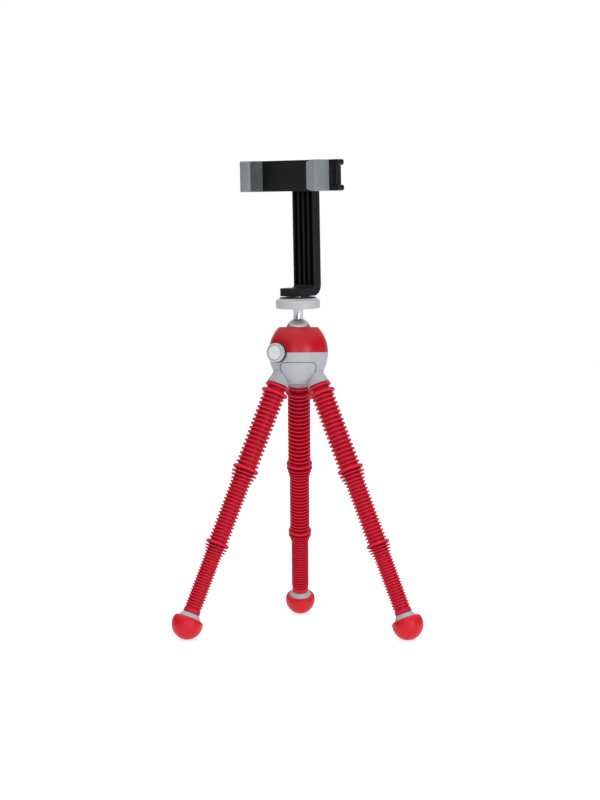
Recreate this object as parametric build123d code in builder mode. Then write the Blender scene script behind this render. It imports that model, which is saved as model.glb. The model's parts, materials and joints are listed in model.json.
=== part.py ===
"""Flexible leg tripod with a small ball head and a spring phone clamp.

Millimetres, +Z up. The origin lies on the floor under the middle of the three feet, -Y is the
front, towards the phone side, and the rear leg points along +Y.
"""
from build123d import *
import os
from math import atan2, cos, hypot, pi, radians, sin, sqrt

os.makedirs("parts", exist_ok=True)

# Clearances and overruns
run_gap = 0.05        # radial gap of a turning or sliding fit
joint_gap = 0.2       # gap between faces that move past each other
soft_gap = 0.2        # gap between a rubber piece and a moving neighbour
seam_gap = 0.35       # open seam round a cover panel
seat_gap = 0.02       # gap between a piece and the pocket it is glued or screwed in
overrun = 1.0         # how far a cut runs past its face

# Legs: each leg is a straight line from its zero point, at the first thin rib, to its foot
splay = 23.4                # degrees from vertical
leg_inset = 0.25            # hub's widest radius to the leg's zero point
foot_r = 8.5                # foot ball
foot_flat = 0.2             # how much the floor takes off the ball
leg_azimuths = {"front_left": 210.0, "front_right": 330.0, "rear": 90.0}
swing = 40.0                # degrees that a leg ball swings each way

upper_core_r = 3.8          # link body inside the upper sleeve
middle_core_r = 3.4
lower_core_r = 3.0
core_radii = (upper_core_r, upper_core_r, middle_core_r, middle_core_r, lower_core_r, lower_core_r)
cup_wall = 0.75             # wall of a link's cup at its mouth
cup_wrap = 105.0            # degrees of the ball that a cup covers, from its pole
neck_share = 0.5            # link neck radius, of its ball's radius

# Sleeves: ribbed rubber tubes over the links, measured down the leg from its zero point
sleeve_start = -7.5
upper_bore_r = 4.0
upper_valley_r = 5.0
upper_rib_r = 6.4
upper_rib_pitch = 2.46
upper_rib_count = 17
upper_rib_base_width = 1.3
upper_rib_crown_width = 0.75
root_rib_distance = -6.4
root_rib_r = 6.5
root_rib_width = 2.1
ring_width = 2.7
root_ring_distance = -2.6
root_ring_r = 7.5
upper_ring_step = 2.94      # last thin rib to the big ring below it
upper_ring_r = 7.35
upper_ring_to_end = 1.55
middle_bore_r = 3.6
middle_valley_r = 4.5
middle_rib_r = 5.62
middle_rib_step = 1.1       # end of the sleeve above to the first rib
middle_rib_pitch = 2.015
middle_rib_count = 20
middle_rib_base_width = 1.15
middle_rib_crown_width = 0.6
middle_ring_step = 2.565
middle_ring_r = 6.6
middle_ring_to_end = 1.4
lower_bore_r = 3.2
lower_valley_r = 4.1
lower_rib_r = 4.92
lower_rib_step = 0.9
lower_rib_pitch = 1.6
lower_rib_count = 22
lower_rib_base_width = 0.95
lower_rib_crown_width = 0.45
lower_rib_to_end = 4.1
end_ring_width = 2.9
end_ring_r = 4.75
ring_shape_shares = ((-0.5, 0.0), (-0.38, 0.6), (-0.16, 1.0), (0.16, 1.0), (0.38, 0.6), (0.5, 0.0))
flare_shares = (0.95, 0.6, 0.25)   # how much of a big ring's extra radius the next ribs keep

upper_ring_distance = upper_rib_pitch * (upper_rib_count - 1) + upper_ring_step
upper_end = upper_ring_distance + upper_ring_to_end
middle_first_rib = upper_end + middle_rib_step
middle_ring_distance = middle_first_rib + middle_rib_pitch * (middle_rib_count - 1) + middle_ring_step
middle_end = middle_ring_distance + middle_ring_to_end
lower_first_rib = middle_end + lower_rib_step
lower_end = lower_first_rib + lower_rib_pitch * (lower_rib_count - 1) + lower_rib_to_end

# Leg chain: distance of each ball from the zero point, negative inside the collar
collar_ball = -9.2
upper_ball_shares = (0.2281, 0.707)    # of the upper sleeve below the zero point
middle_ball_shares = (0.2226, 0.7186)
lower_ball_share = 0.26
ball_distances = (
    collar_ball,
    *(upper_end * share for share in upper_ball_shares),
    *(upper_end + (middle_end - upper_end) * share for share in middle_ball_shares),
    middle_end + (lower_end - middle_end) * lower_ball_share,
)

# Foot
foot_cup_gap = 0.1          # end of the lower sleeve to the grey cup
foot_cup_r = 4.7
foot_cup_flare_r = 6.2
foot_cup_length = 2.5
foot_cut = 3.5              # middle of the foot ball to its cut top
foot_plug_r = 3.6
foot_plug_depth = 2.1       # how far the plug reaches past the middle of the ball
foot_edge_r = 1.2

foot_cup_top = lower_end + foot_cup_gap
foot_top = foot_cup_top + foot_cup_length
foot_reach = foot_top + foot_cut
foot_plug_end = foot_reach + foot_plug_depth
foot_height = foot_r - foot_flat
leg_zero_z = foot_height + foot_reach * cos(radians(splay))

# Leg collars
collar_mouth = -7.7
collar_mouth_r = 5.3
collar_r = 6.2
collar_lip = 0.65
collar_lip_step = 0.25
collar_waist = -12.7
collar_waist_r = 4.9
collar_top = -17.0
collar_top_r = 4.0
collar_screw_r = 1.2
collar_screw_head_r = 2.1
collar_screw_head_h = 1.5
collar_screw_length = 5.2
collar_web = 2.0

# Hub: body below the equator, dome above it
hub_rim = 7.9               # socket to the hub's widest radius
body_rise = 7.4             # leg zero point to the hub's bottom
body_depth = 17.35
body_taper_share = 0.4418   # how much narrower the hub is at its bottom, of its depth
dome_h = 13.85
dome_taper_share = 0.4
dome_wall = 2.0
socket_tube_wall = 1.75
dome_pocket_h = 8.8
dome_edge_r = 0.5
cavity_depth = 5.2
panel_azimuths = (270.0, 30.0, 150.0)
panel_top = 5.6
panel_side = 3.7            # height of the panel's upright sides
panel_hem = 1.6             # panel's foot to the hub's bottom
panel_side_inset = 6.75     # hub's widest radius to the panel's side
panel_foot_inset = 10.7
panel_corner_r = 1.8
panel_t = 1.5
hub_screw_inset = 5.35
hub_screw_r = 1.0
hub_screw_head_r = 1.9
hub_screw_head_h = 1.3
hub_screw_boss_r = 2.3
hub_screw_length = 10.0
hub_screw_seat = 6.0

# Ball head
ball_r = 7.0
ball_sink = 2.0             # top of the dome to the ball centre
lip_gap = 0.15
liner_wall = 1.45
liner_top = 1.3             # above the ball centre
liner_h = 3.0
cup_skirt = 2.2
cup_gap = 0.15
cup_floor_t = 1.1
cup_stub_r = 3.0
cup_stub_depth = 1.0        # below the equator
cup_nose_r = 0.8
lean = 3.9                  # degrees that the head leans in the photograph
lean_azimuth = 255.3        # direction of the lean
neck_flats = 5.3
neck_sink = 1.1             # how far the neck starts inside the ball
neck_length = 5.8
stud_r = 3.1
stud_bite = 3.3             # stud in the arm
stud_chamfer = 0.4
stud_flange_r = 4.0
stud_flange_t = 1.2

equator_z = leg_zero_z + body_rise + body_depth
body_arc_r = body_depth * (1 / body_taper_share + body_taper_share) / 2
dome_arc_r = dome_h * (1 / dome_taper_share + dome_taper_share) / 2
panel_shoulder = panel_top + panel_side
panel_bottom = body_depth - panel_hem
ball_rise = dome_h - ball_sink
cavity_r = ball_r + liner_wall
hub_r = cavity_r + hub_rim
leg_offset = hub_r - leg_inset
foot_circle_r = leg_offset + foot_reach * sin(radians(splay))
hub_y = -foot_circle_r * sum(sin(radians(a)) for a in (90.0, 210.0)) / 2
panel_half_width = hub_r - panel_side_inset
panel_foot_half_width = hub_r - panel_foot_inset
hub_screw_circle_r = hub_r - hub_screw_inset
socket_tube_r = cavity_r + socket_tube_wall
cup_r = cavity_r - cup_gap
cup_floor = ball_r + cup_floor_t
cup_stub_bottom = ball_rise + cup_stub_depth
neck_bottom = ball_r - neck_sink
neck_top = neck_bottom + neck_length

# Lock knob, measured out from the hub axis
knob_azimuth = 240.0
knob_t = 3.0
knob_r = 5.15
knob_chamfer = 0.5
knob_flutes = 18
knob_flute_r = 0.45
knob_cap_r = 3.95
knob_cap_seam = 0.25        # open seam round the cap
knob_cap_t = 0.8
knob_cap_sink = 0.1
knob_boss_r = 4.3
knob_boss_gap = 0.75        # socket to the boss's inner end
knob_boss_h = 4.85          # boss past the hub's widest radius
knob_washer_r = 5.5
knob_washer_t = 1.2
knob_shaft_r = 2.5
knob_lead = 0.5             # inner end of the shaft to its clip
knob_bore_r = 1.35
knob_bore_web = 3.2
clip_clear = 0.75           # clip to the cavity's wall
clip_r = 3.2
clip_t = 0.7
clip_groove_r = 2.0
plunger_r = 1.3
plunger_flange_r = 2.1
plunger_flange_t = 1.0
plunger_flange_distance = 4.3
plunger_tip = 2.5
plunger_tip_r = 0.5
plunger_room = 3.0          # free length of the knob's bore past the plunger

knob_boss_start = cavity_r + knob_boss_gap
knob_boss_end = hub_r + knob_boss_h
knob_bore_end = knob_boss_end - knob_bore_web
plunger_end = knob_bore_end - plunger_room
knob_face = knob_boss_end + knob_washer_t + joint_gap + knob_t
clip_start = cavity_r - clip_clear - clip_t
knob_shaft_end = clip_start - knob_lead

# Lock disk, measured up the head axis
disk_r = 12.15
disk_step = 0.45            # hub face of the disk to its rim
disk_rim_t = 4.4
disk_land_h = 1.2
disk_edge = 0.35
disk_land_r = 10.3
pad_r = 10.15
pad_sink = 0.5
pad_t = 1.05
pad_edge_r = 0.4
arm_gap = 0.6              # disk's pad to the arm

disk_bottom = neck_top + joint_gap
disk_rim_bottom = disk_bottom + disk_step
disk_rim_top = disk_rim_bottom + disk_rim_t
disk_top = disk_rim_top + disk_land_h
pad_bottom = disk_top - pad_sink
pad_top = pad_bottom + pad_t
foot_bottom = pad_top + arm_gap
stud_top = foot_bottom + stud_bite

# Phone arm, turned about the head axis
arm_yaw = 38.0              # degrees, right end towards the viewer
arm_foot_t = 4.4
arm_foot_front = 6.2        # stud axis to the front end of the foot
arm_back = 11.4             # stud axis to the back of the upright
arm_depth = 5.6
arm_half_width = 7.5
pivot_height = 84.9
arm_bend_r = 6.0
arm_inner_r = 1.6
channel_depth = 3.2
channel_wall = 1.0
channel_rib_t = 0.75
channel_ribs = 3
channel_end = 8.2           # pivot axis to the top of the channels
insert_r = 4.2
insert_h = 3.6
pivot_r = 2.0
pivot_head_r = 3.05
pivot_head_t = 0.8
pivot_head_sink = 0.1
pivot_end_gap = 0.3
pivot_boss_r = 2.9
nut_r = 3.6
nut_t = 2.4
washer_t = 0.35
washer_r = 5.6

# Phone clamp: u runs along it, v up it, and depth from front to back
clamp_left = 29.0
clamp_body_right = 17.6
slider_left = 17.8
clamp_half_h = 8.45
clamp_front = 2.0           # front face before the stud axis
clamp_back_cover_t = 1.6
clamp_wall = 1.4
clamp_side_wall = 1.2
jaw_reach = 11.7
jaw_t = 7.1
jaw_core_t = 4.4
jaw_skin = 1.3
jaw_hollow = 0.9
jaw_round = 1.4
rail_h = 2.4
rail_end = 27.0
tail_right = 29.3
prong_right = 31.3
prong_h = 3.2
prong_round = 1.2
tail_t = 5.0
tail_pocket = 0.8
post_r = 1.7
post_places = (-17.0, 12.0)
clamp_screw_r = 0.7
clamp_screw_head_r = 1.4
clamp_screw_head_t = 0.8
clamp_screw_bite = 2.4
cover_chamfer = 0.4
spring_place = 3.75
spring_r = 0.75
spring_depth = 1.15
clamp_travel = 38.0


def direction(azimuth, down):
    """Unit vector that points out along an azimuth, and `down` degrees away from straight down."""
    a, d = radians(azimuth), radians(down)
    return Vector(sin(d) * cos(a), sin(d) * sin(a), -cos(d))


def leg_frame(azimuth, distance):
    """Plane across a leg: X level, Z down the leg, origin `distance` past the zero point."""
    a = radians(azimuth)
    zero = Vector(leg_offset * cos(a), hub_y + leg_offset * sin(a), leg_zero_z)
    along = direction(azimuth, splay)
    return Plane(zero + along * distance, x_dir=(-sin(a), cos(a), 0), z_dir=along)


def turning_plane(frame):
    """Half-section plane of a frame: x is the radius, y runs along the frame's Z."""
    return Plane(frame.origin, x_dir=frame.x_dir, z_dir=frame.x_dir.cross(frame.z_dir))


def turning_axis(frame):
    """The frame's Z as an axis."""
    return Axis(frame.origin, frame.z_dir)


def radial_frame(azimuth, distance=0.0, height=0.0):
    """Plane that faces out from the hub axis: x sideways, y up, z outwards."""
    a = radians(azimuth)
    out = Vector(cos(a), sin(a), 0)
    origin = Vector(0, hub_y, equator_z + height) + out * distance
    return Plane(origin, x_dir=(-sin(a), cos(a), 0), z_dir=out)


def save(part, node):
    """Name a finished piece and write it under its node's name."""
    part.label = node
    export_step(part, f"parts/{node}.step")


def rims(builder, radius):
    """Circular edges of a builder that have that radius."""
    circles = builder.edges().filter_by(GeomType.CIRCLE)
    return circles.filter_by(lambda edge: abs(edge.radius - radius) < seat_gap)


hub_frame = Plane((0, hub_y, equator_z), x_dir=(1, 0, 0), z_dir=(0, 0, 1))
body_arc_centre = hub_r - body_arc_r
dome_arc_centre = hub_r - dome_arc_r


def body_x(depth, inset=0.0):
    """Radius of the hub body at a depth below the equator, inset from its skin."""
    return body_arc_centre + sqrt((body_arc_r - inset) ** 2 - depth ** 2)


def dome_x(height, inset=0.0):
    """Radius of the dome at a height above the equator, inset from its skin."""
    return dome_arc_centre + sqrt((dome_arc_r - inset) ** 2 - height ** 2)


# Leg pieces

def collar_outline(grow=0.0):
    """Half outline of a collar's outside, as (radius, distance) points, grown by a gap."""
    return [
        (0, collar_top - grow),
        (collar_top_r + grow, collar_top - grow),
        (collar_waist_r + grow, collar_waist),
        (collar_r - collar_lip_step + grow, collar_mouth - collar_lip),
        (collar_r + grow, collar_mouth - collar_lip),
        (collar_r + grow, collar_mouth),
    ]


def cup_points(cup_r):
    """Mouth radius and mouth height, past the ball centre, of a cup of that radius."""
    wrap = radians(180.0 - cup_wrap)
    return cup_r * sin(wrap), cup_r * cos(wrap)


first_ball_r = upper_core_r - cup_wall - run_gap


def make_collar(azimuth):
    """Grey collar with the cup for the leg's first ball, and a blind hole for its screw."""
    frame = leg_frame(azimuth, 0)
    centre = ball_distances[0]
    cup = first_ball_r + run_gap
    mouth_r, mouth_y = cup_points(cup)
    with BuildPart() as collar:
        with BuildSketch(turning_plane(frame)):
            with BuildLine():
                Polyline(*collar_outline(), (collar_mouth_r, collar_mouth), (mouth_r, centre + mouth_y))
                ThreePointArc((mouth_r, centre + mouth_y), (cup, centre), (0, centre - cup))
                Line((0, centre - cup), (0, collar_top))
            make_face()
        revolve(axis=turning_axis(frame))
        with BuildSketch(leg_frame(azimuth, collar_top)):
            Circle(collar_screw_r)
        extrude(amount=collar_screw_length - collar_web + seat_gap, mode=Mode.SUBTRACT)
    return collar.part


def link_top(ball, upper_core):
    """Neck radius, where the neck meets the ball, and the shoulder that clears the cup at full swing."""
    neck_r = ball * neck_share
    neck_y = sqrt(ball ** 2 - neck_r ** 2)
    rim_y = cup_points(upper_core - cup_wall)[1]
    rim_reach = hypot(upper_core, rim_y) * cos(atan2(upper_core, rim_y) - radians(swing))
    return neck_r, neck_y, rim_reach + joint_gap


def make_link(azimuth, index):
    """Link with a ball at its top and, at its foot end, the cup for the next ball."""
    start, end = ball_distances[index], ball_distances[index + 1]
    core_r = core_radii[index]
    upper_core = core_radii[max(index - 1, 0)]
    ball = upper_core - cup_wall - run_gap
    neck_r, neck_y, shoulder = link_top(ball, upper_core)
    cup = core_r - cup_wall
    mouth_r, mouth_y = cup_points(cup)
    length = end - start
    frame = leg_frame(azimuth, start)
    with BuildPart() as link:
        with BuildSketch(turning_plane(frame)):
            with BuildLine():
                ThreePointArc((0, -ball), (ball, 0), (neck_r, neck_y))
                Polyline(
                    (neck_r, neck_y), (neck_r, shoulder), (core_r - neck_r / 2, shoulder),
                    (core_r, shoulder + neck_r / 2), (core_r, length + mouth_y),
                    (mouth_r, length + mouth_y),
                )
                ThreePointArc((mouth_r, length + mouth_y), (cup, length), (0, length - cup))
                Line((0, length - cup), (0, -ball))
            make_face()
        revolve(axis=turning_axis(frame))
    return link.part


def make_foot_stem(azimuth):
    """Last link: ball, stem, the grey flared cup that shows above the foot, and its plug."""
    start = ball_distances[-1]
    core_r = core_radii[-1]
    upper_core = core_radii[-2]
    ball = upper_core - cup_wall - run_gap
    neck_r, neck_y, shoulder = link_top(ball, upper_core)
    frame = leg_frame(azimuth, start)
    with BuildPart() as stem:
        with BuildSketch(turning_plane(frame)):
            with BuildLine():
                ThreePointArc((0, -ball), (ball, 0), (neck_r, neck_y))
                Polyline(
                    (neck_r, neck_y), (neck_r, shoulder), (core_r - neck_r / 2, shoulder),
                    (core_r, shoulder + neck_r / 2), (core_r, foot_cup_top - start),
                    (foot_cup_r, foot_cup_top - start), (foot_cup_flare_r, foot_top - start),
                    (foot_plug_r, foot_top - start), (foot_plug_r, foot_plug_end - start),
                    (0, foot_plug_end - start), (0, -ball),
                )
            make_face()
        revolve(axis=turning_axis(frame))
    return stem.part


def make_foot_pad(azimuth):
    """Rubber foot: a ball cut off square at its top, and flat where it meets the floor."""
    frame = leg_frame(azimuth, foot_reach)
    top = foot_top - foot_reach + seat_gap
    top_r = sqrt(foot_r ** 2 - top ** 2)
    plug_end = foot_plug_end - foot_reach + seat_gap
    with BuildPart() as pad:
        with BuildSketch(turning_plane(frame)):
            with BuildLine():
                ThreePointArc((0, foot_r), (foot_r, 0), (top_r, top))
                Polyline(
                    (top_r, top), (foot_plug_r + seat_gap, top), (foot_plug_r + seat_gap, plug_end),
                    (0, plug_end), (0, foot_r),
                )
            make_face()
        revolve(axis=turning_axis(frame))
        fillet(rims(pad, top_r), foot_edge_r)
        with BuildSketch(Plane.XY):
            with Locations((frame.origin.X, frame.origin.Y)):
                Rectangle(foot_r * 2, foot_r * 2)
        extrude(amount=-foot_r, mode=Mode.SUBTRACT)
    return pad.part


def rib_stations(places, radii, valley_r, base, tip):
    """Four circles for each rib, as (distance, radius)."""
    stations = []
    for place, radius in zip(places, radii):
        stations += [
            (place - base / 2, valley_r), (place - tip / 2, radius),
            (place + tip / 2, radius), (place + base / 2, valley_r),
        ]
    return stations


def ring_stations(place, width, ring_r, valley_r):
    """Six circles for a big rounded ring, as (distance, radius)."""
    return [(place + width * a, valley_r + (ring_r - valley_r) * b) for a, b in ring_shape_shares]


def flared(count, rib_r, ring_r):
    """Rib radii of a sleeve whose first ribs come down from the ring above them."""
    extra = [(ring_r - rib_r) * share for share in flare_shares]
    return [rib_r + (extra[i] if i < len(extra) else 0) for i in range(count)]


def make_sleeve(azimuth, stations, bore_r):
    """Ribbed rubber tube: a ruled loft through its circles, with a plain bore."""
    with BuildPart() as sleeve:
        for distance, radius in stations:
            with BuildSketch(leg_frame(azimuth, distance)):
                Circle(radius)
        loft(ruled=True)
        with BuildSketch(leg_frame(azimuth, stations[0][0])):
            Circle(bore_r)
        extrude(amount=stations[-1][0] - stations[0][0], mode=Mode.SUBTRACT)
    return sleeve.part


upper_places = [upper_rib_pitch * i for i in range(upper_rib_count)]
middle_places = [middle_first_rib + middle_rib_pitch * i for i in range(middle_rib_count)]
lower_places = [lower_first_rib + lower_rib_pitch * i for i in range(lower_rib_count)]

upper_stations = (
    [(sleeve_start, upper_valley_r)]
    + ring_stations(root_rib_distance, root_rib_width, root_rib_r, upper_valley_r)
    + ring_stations(root_ring_distance, ring_width, root_ring_r, upper_valley_r)
    + rib_stations(upper_places, [upper_rib_r] * upper_rib_count, upper_valley_r,
                   upper_rib_base_width, upper_rib_crown_width)
    + ring_stations(upper_ring_distance, ring_width, upper_ring_r, upper_valley_r)
    + [(upper_end, upper_valley_r)]
)
middle_stations = (
    [(upper_end + soft_gap, middle_valley_r)]
    + rib_stations(middle_places, flared(middle_rib_count, middle_rib_r, upper_ring_r),
                   middle_valley_r, middle_rib_base_width, middle_rib_crown_width)
    + ring_stations(middle_ring_distance, ring_width * middle_ring_r / upper_ring_r,
                    middle_ring_r, middle_valley_r)
    + [(middle_end, middle_valley_r)]
)
lower_stations = (
    [(middle_end + soft_gap, lower_valley_r)]
    + rib_stations(lower_places, flared(lower_rib_count, lower_rib_r, middle_ring_r),
                   lower_valley_r, lower_rib_base_width, lower_rib_crown_width)
    + ring_stations(lower_end - end_ring_width / 2, end_ring_width, end_ring_r, lower_valley_r)
)

for leg, azimuth in leg_azimuths.items():
    save(make_collar(azimuth), f"collar_{leg}")
    for index in range(len(ball_distances) - 1):
        save(make_link(azimuth, index), f"link_{index + 1}_{leg}")
    save(make_foot_stem(azimuth), f"foot_stem_{leg}")
    save(make_foot_pad(azimuth), f"foot_pad_{leg}")
    save(make_sleeve(azimuth, upper_stations, upper_bore_r), f"sleeve_upper_{leg}")
    save(make_sleeve(azimuth, middle_stations, middle_bore_r), f"sleeve_middle_{leg}")
    save(make_sleeve(azimuth, lower_stations, lower_bore_r), f"sleeve_lower_{leg}")


# Hub

def skin_arc(top, bottom, inset=0.0):
    """Arc down the hub body's skin between two depths."""
    middle = (top + bottom) / 2
    return ThreePointArc(
        (body_x(top, inset), -top), (body_x(middle, inset), -middle), (body_x(bottom, inset), -bottom)
    )


def dome_arc(bottom, top, inset=0.0):
    """Arc up the dome's skin between two heights."""
    middle = (top + bottom) / 2
    return ThreePointArc(
        (dome_x(bottom, inset), bottom), (dome_x(middle, inset), middle), (dome_x(top, inset), top)
    )


def skin_band(outset, inset):
    """Ring under the hub body's skin, where the cover panels lie, carried straight down past it."""
    top, floor = panel_top - seam_gap, -body_depth - overrun
    with BuildPart() as band:
        with BuildSketch(turning_plane(hub_frame)):
            with BuildLine():
                outer = skin_arc(top, body_depth, -outset)
                inner = skin_arc(top, body_depth, inset)
                Line(outer @ 0, inner @ 0)
                Polyline(
                    outer @ 1, (body_x(body_depth, -outset), floor),
                    (body_x(body_depth, inset), floor), inner @ 1,
                )
            make_face()
        revolve(axis=turning_axis(hub_frame))
    return band.part


def panel_outline(grow, floor):
    """Outline of a cover panel as seen from outside, grown by the seam, down to a depth."""
    with BuildSketch() as outline:
        with BuildLine():
            Polyline(
                (-panel_half_width - grow, -panel_top + grow),
                (panel_half_width + grow, -panel_top + grow),
                (panel_half_width + grow, -panel_shoulder),
                (panel_foot_half_width + grow, -floor),
                (-panel_foot_half_width - grow, -floor),
                (-panel_half_width - grow, -panel_shoulder),
                close=True,
            )
        make_face()
        fillet(outline.vertices().group_by(Axis.Y)[-1], panel_corner_r + grow)
    return outline.sketch


def panel_blocks(outline, band):
    """The three panel outlines carried out from the hub axis and cut to a band."""
    with BuildPart() as blocks:
        for azimuth in panel_azimuths:
            with BuildPart(mode=Mode.PRIVATE) as block:
                with BuildSketch(radial_frame(azimuth)):
                    add(outline)
                extrude(amount=hub_r + overrun)
            add(band & block.part)
    return blocks.part


def collar_space(azimuth, gap):
    """Room that a collar takes, grown by a gap."""
    with BuildPart() as space:
        with BuildSketch(turning_plane(leg_frame(azimuth, 0))):
            with BuildLine():
                Polyline(*collar_outline(gap), (0, collar_mouth), (0, collar_top - gap))
            make_face()
        revolve(axis=turning_axis(leg_frame(azimuth, 0)))
    return space.part


panels = panel_blocks(panel_outline(0, panel_bottom), skin_band(0, panel_t))
recesses = panel_blocks(panel_outline(seam_gap, body_depth + overrun), skin_band(overrun, panel_t + seat_gap))
wide_spaces = [collar_space(azimuth, seam_gap) for azimuth in leg_azimuths.values()]
close_spaces = [collar_space(azimuth, seat_gap) for azimuth in leg_azimuths.values()]

with BuildPart() as hub_panels:
    add(panels)
    add(wide_spaces, mode=Mode.SUBTRACT)
save(hub_panels.part, "hub_panels")

with BuildPart() as hub_body:
    with BuildSketch(turning_plane(hub_frame)):
        with BuildLine():
            Polyline((0, -body_depth), (0, -cavity_depth), (cavity_r, -cavity_depth), (cavity_r, 0), (hub_r, 0))
            skin_arc(0, body_depth)
            Line((body_x(body_depth), -body_depth), (0, -body_depth))
        make_face()
    revolve(axis=turning_axis(hub_frame))
    # lower half of the boss that carries the lock knob, and its bore
    with BuildSketch(radial_frame(knob_azimuth, knob_boss_start)):
        Circle(knob_boss_r)
    extrude(amount=knob_boss_end - knob_boss_start)
    with BuildSketch(hub_frame):
        Circle(knob_face)
    extrude(amount=knob_boss_r * 2, mode=Mode.SUBTRACT)
    with BuildSketch(radial_frame(knob_azimuth)):
        Circle(knob_shaft_r + run_gap)
    extrude(amount=knob_face, mode=Mode.SUBTRACT)
    add(recesses, mode=Mode.SUBTRACT)
    add(close_spaces, mode=Mode.SUBTRACT)
    # screw holes: one along each leg from the cavity floor, one up under each panel
    for azimuth in leg_azimuths.values():
        with BuildSketch(leg_frame(azimuth, collar_top + overrun)):
            Circle(collar_screw_r + seat_gap)
        extrude(amount=-collar_web - overrun * 2, mode=Mode.SUBTRACT)
        with BuildSketch(leg_frame(azimuth, collar_top - collar_web)):
            Circle(collar_screw_head_r + seat_gap)
        extrude(amount=-body_depth, mode=Mode.SUBTRACT)
    with BuildSketch(hub_frame.offset(-hub_screw_seat)):
        with PolarLocations(hub_screw_circle_r, len(panel_azimuths), start_angle=panel_azimuths[0]):
            Circle(hub_screw_head_r + seat_gap)
    extrude(amount=-body_depth, mode=Mode.SUBTRACT)
    with BuildSketch(hub_frame.offset(-hub_screw_seat)):
        with PolarLocations(hub_screw_circle_r, len(panel_azimuths), start_angle=panel_azimuths[0]):
            Circle(hub_screw_r + seat_gap)
    extrude(amount=hub_screw_seat, mode=Mode.SUBTRACT)
save(hub_body.part, "hub_body")

ball_centre = hub_frame.origin + Vector(0, 0, ball_rise)
ball_frame = Plane(ball_centre, x_dir=(1, 0, 0), z_dir=(0, 0, 1))


def chord(radius, height):
    """Half chord of a circle at a height from its centre."""
    return sqrt(radius ** 2 - height ** 2)


lip_r = ball_r + lip_gap
lip_top = dome_h - ball_rise

with BuildPart() as dome_shell:
    with BuildSketch(turning_plane(hub_frame)):
        with BuildLine():
            dome_arc(0, dome_h)
            Line((dome_x(dome_h), dome_h), (chord(lip_r, lip_top), dome_h))
            ThreePointArc(
                (chord(lip_r, lip_top), dome_h),
                (chord(lip_r, (lip_top + liner_top) / 2), ball_rise + (lip_top + liner_top) / 2),
                (chord(lip_r, liner_top), ball_rise + liner_top),
            )
            Polyline(
                (chord(lip_r, liner_top), ball_rise + liner_top), (cavity_r, ball_rise + liner_top),
                (cavity_r, 0), (hub_r, 0),
            )
        make_face()
    revolve(axis=turning_axis(hub_frame))
    fillet(rims(dome_shell, dome_x(dome_h)), dome_edge_r)
    # hollow between the socket tube and the skin
    with BuildSketch(turning_plane(hub_frame)):
        with BuildLine():
            hollow = dome_arc(0, dome_pocket_h, dome_wall)
            Polyline(hollow @ 1, (socket_tube_r, dome_pocket_h), (socket_tube_r, 0), hollow @ 0)
        make_face()
    revolve(axis=turning_axis(hub_frame), mode=Mode.SUBTRACT)
    # screw bosses, and the upper half of the knob's boss
    with BuildSketch(hub_frame):
        with PolarLocations(hub_screw_circle_r, len(panel_azimuths), start_angle=panel_azimuths[0]):
            Circle(hub_screw_boss_r)
    extrude(amount=dome_pocket_h)
    with BuildSketch(radial_frame(knob_azimuth, knob_boss_start)):
        Circle(knob_boss_r)
    extrude(amount=knob_boss_end - knob_boss_start)
    with BuildSketch(hub_frame):
        Circle(knob_face)
    extrude(amount=-knob_boss_r * 2, mode=Mode.SUBTRACT)
    with BuildSketch(radial_frame(knob_azimuth)):
        Circle(knob_shaft_r + run_gap)
    extrude(amount=knob_face, mode=Mode.SUBTRACT)
    with BuildSketch(hub_frame):
        Circle(cavity_r)
    extrude(amount=dome_pocket_h, mode=Mode.SUBTRACT)
    with BuildSketch(hub_frame):
        with PolarLocations(hub_screw_circle_r, len(panel_azimuths), start_angle=panel_azimuths[0]):
            Circle(hub_screw_r + seat_gap)
    extrude(amount=hub_screw_length - hub_screw_seat + seat_gap, mode=Mode.SUBTRACT)
save(dome_shell.part, "dome_shell")

with BuildPart() as hub_screws:
    with BuildSketch(hub_frame.offset(-hub_screw_seat)):
        with PolarLocations(hub_screw_circle_r, len(panel_azimuths), start_angle=panel_azimuths[0]):
            Circle(hub_screw_r)
    extrude(amount=hub_screw_length)
    with BuildSketch(hub_frame.offset(-hub_screw_seat)):
        with PolarLocations(hub_screw_circle_r, len(panel_azimuths), start_angle=panel_azimuths[0]):
            Circle(hub_screw_head_r)
    extrude(amount=-hub_screw_head_h)
save(hub_screws.part, "hub_screws")

with BuildPart() as collar_screws:
    for azimuth in leg_azimuths.values():
        with BuildSketch(leg_frame(azimuth, collar_top - collar_web)):
            Circle(collar_screw_r)
        extrude(amount=collar_screw_length)
        with BuildSketch(leg_frame(azimuth, collar_top - collar_web)):
            Circle(collar_screw_head_r)
        extrude(amount=-collar_screw_head_h)
save(collar_screws.part, "collar_screws")

# Ball, liner and cup

seat_r = ball_r + run_gap
liner_bottom = liner_h - liner_top

with BuildPart() as ball_liner:
    with BuildSketch(turning_plane(ball_frame)):
        with BuildLine():
            top, bottom = liner_top - run_gap, -liner_bottom
            ThreePointArc((chord(seat_r, top), top), (seat_r, 0), (chord(seat_r, bottom), bottom))
            Polyline(
                (chord(seat_r, bottom), bottom), (cavity_r - run_gap, bottom),
                (cavity_r - run_gap, top), (chord(seat_r, top), top),
            )
        make_face()
    revolve(axis=turning_axis(ball_frame))
save(ball_liner.part, "ball_liner")

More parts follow.
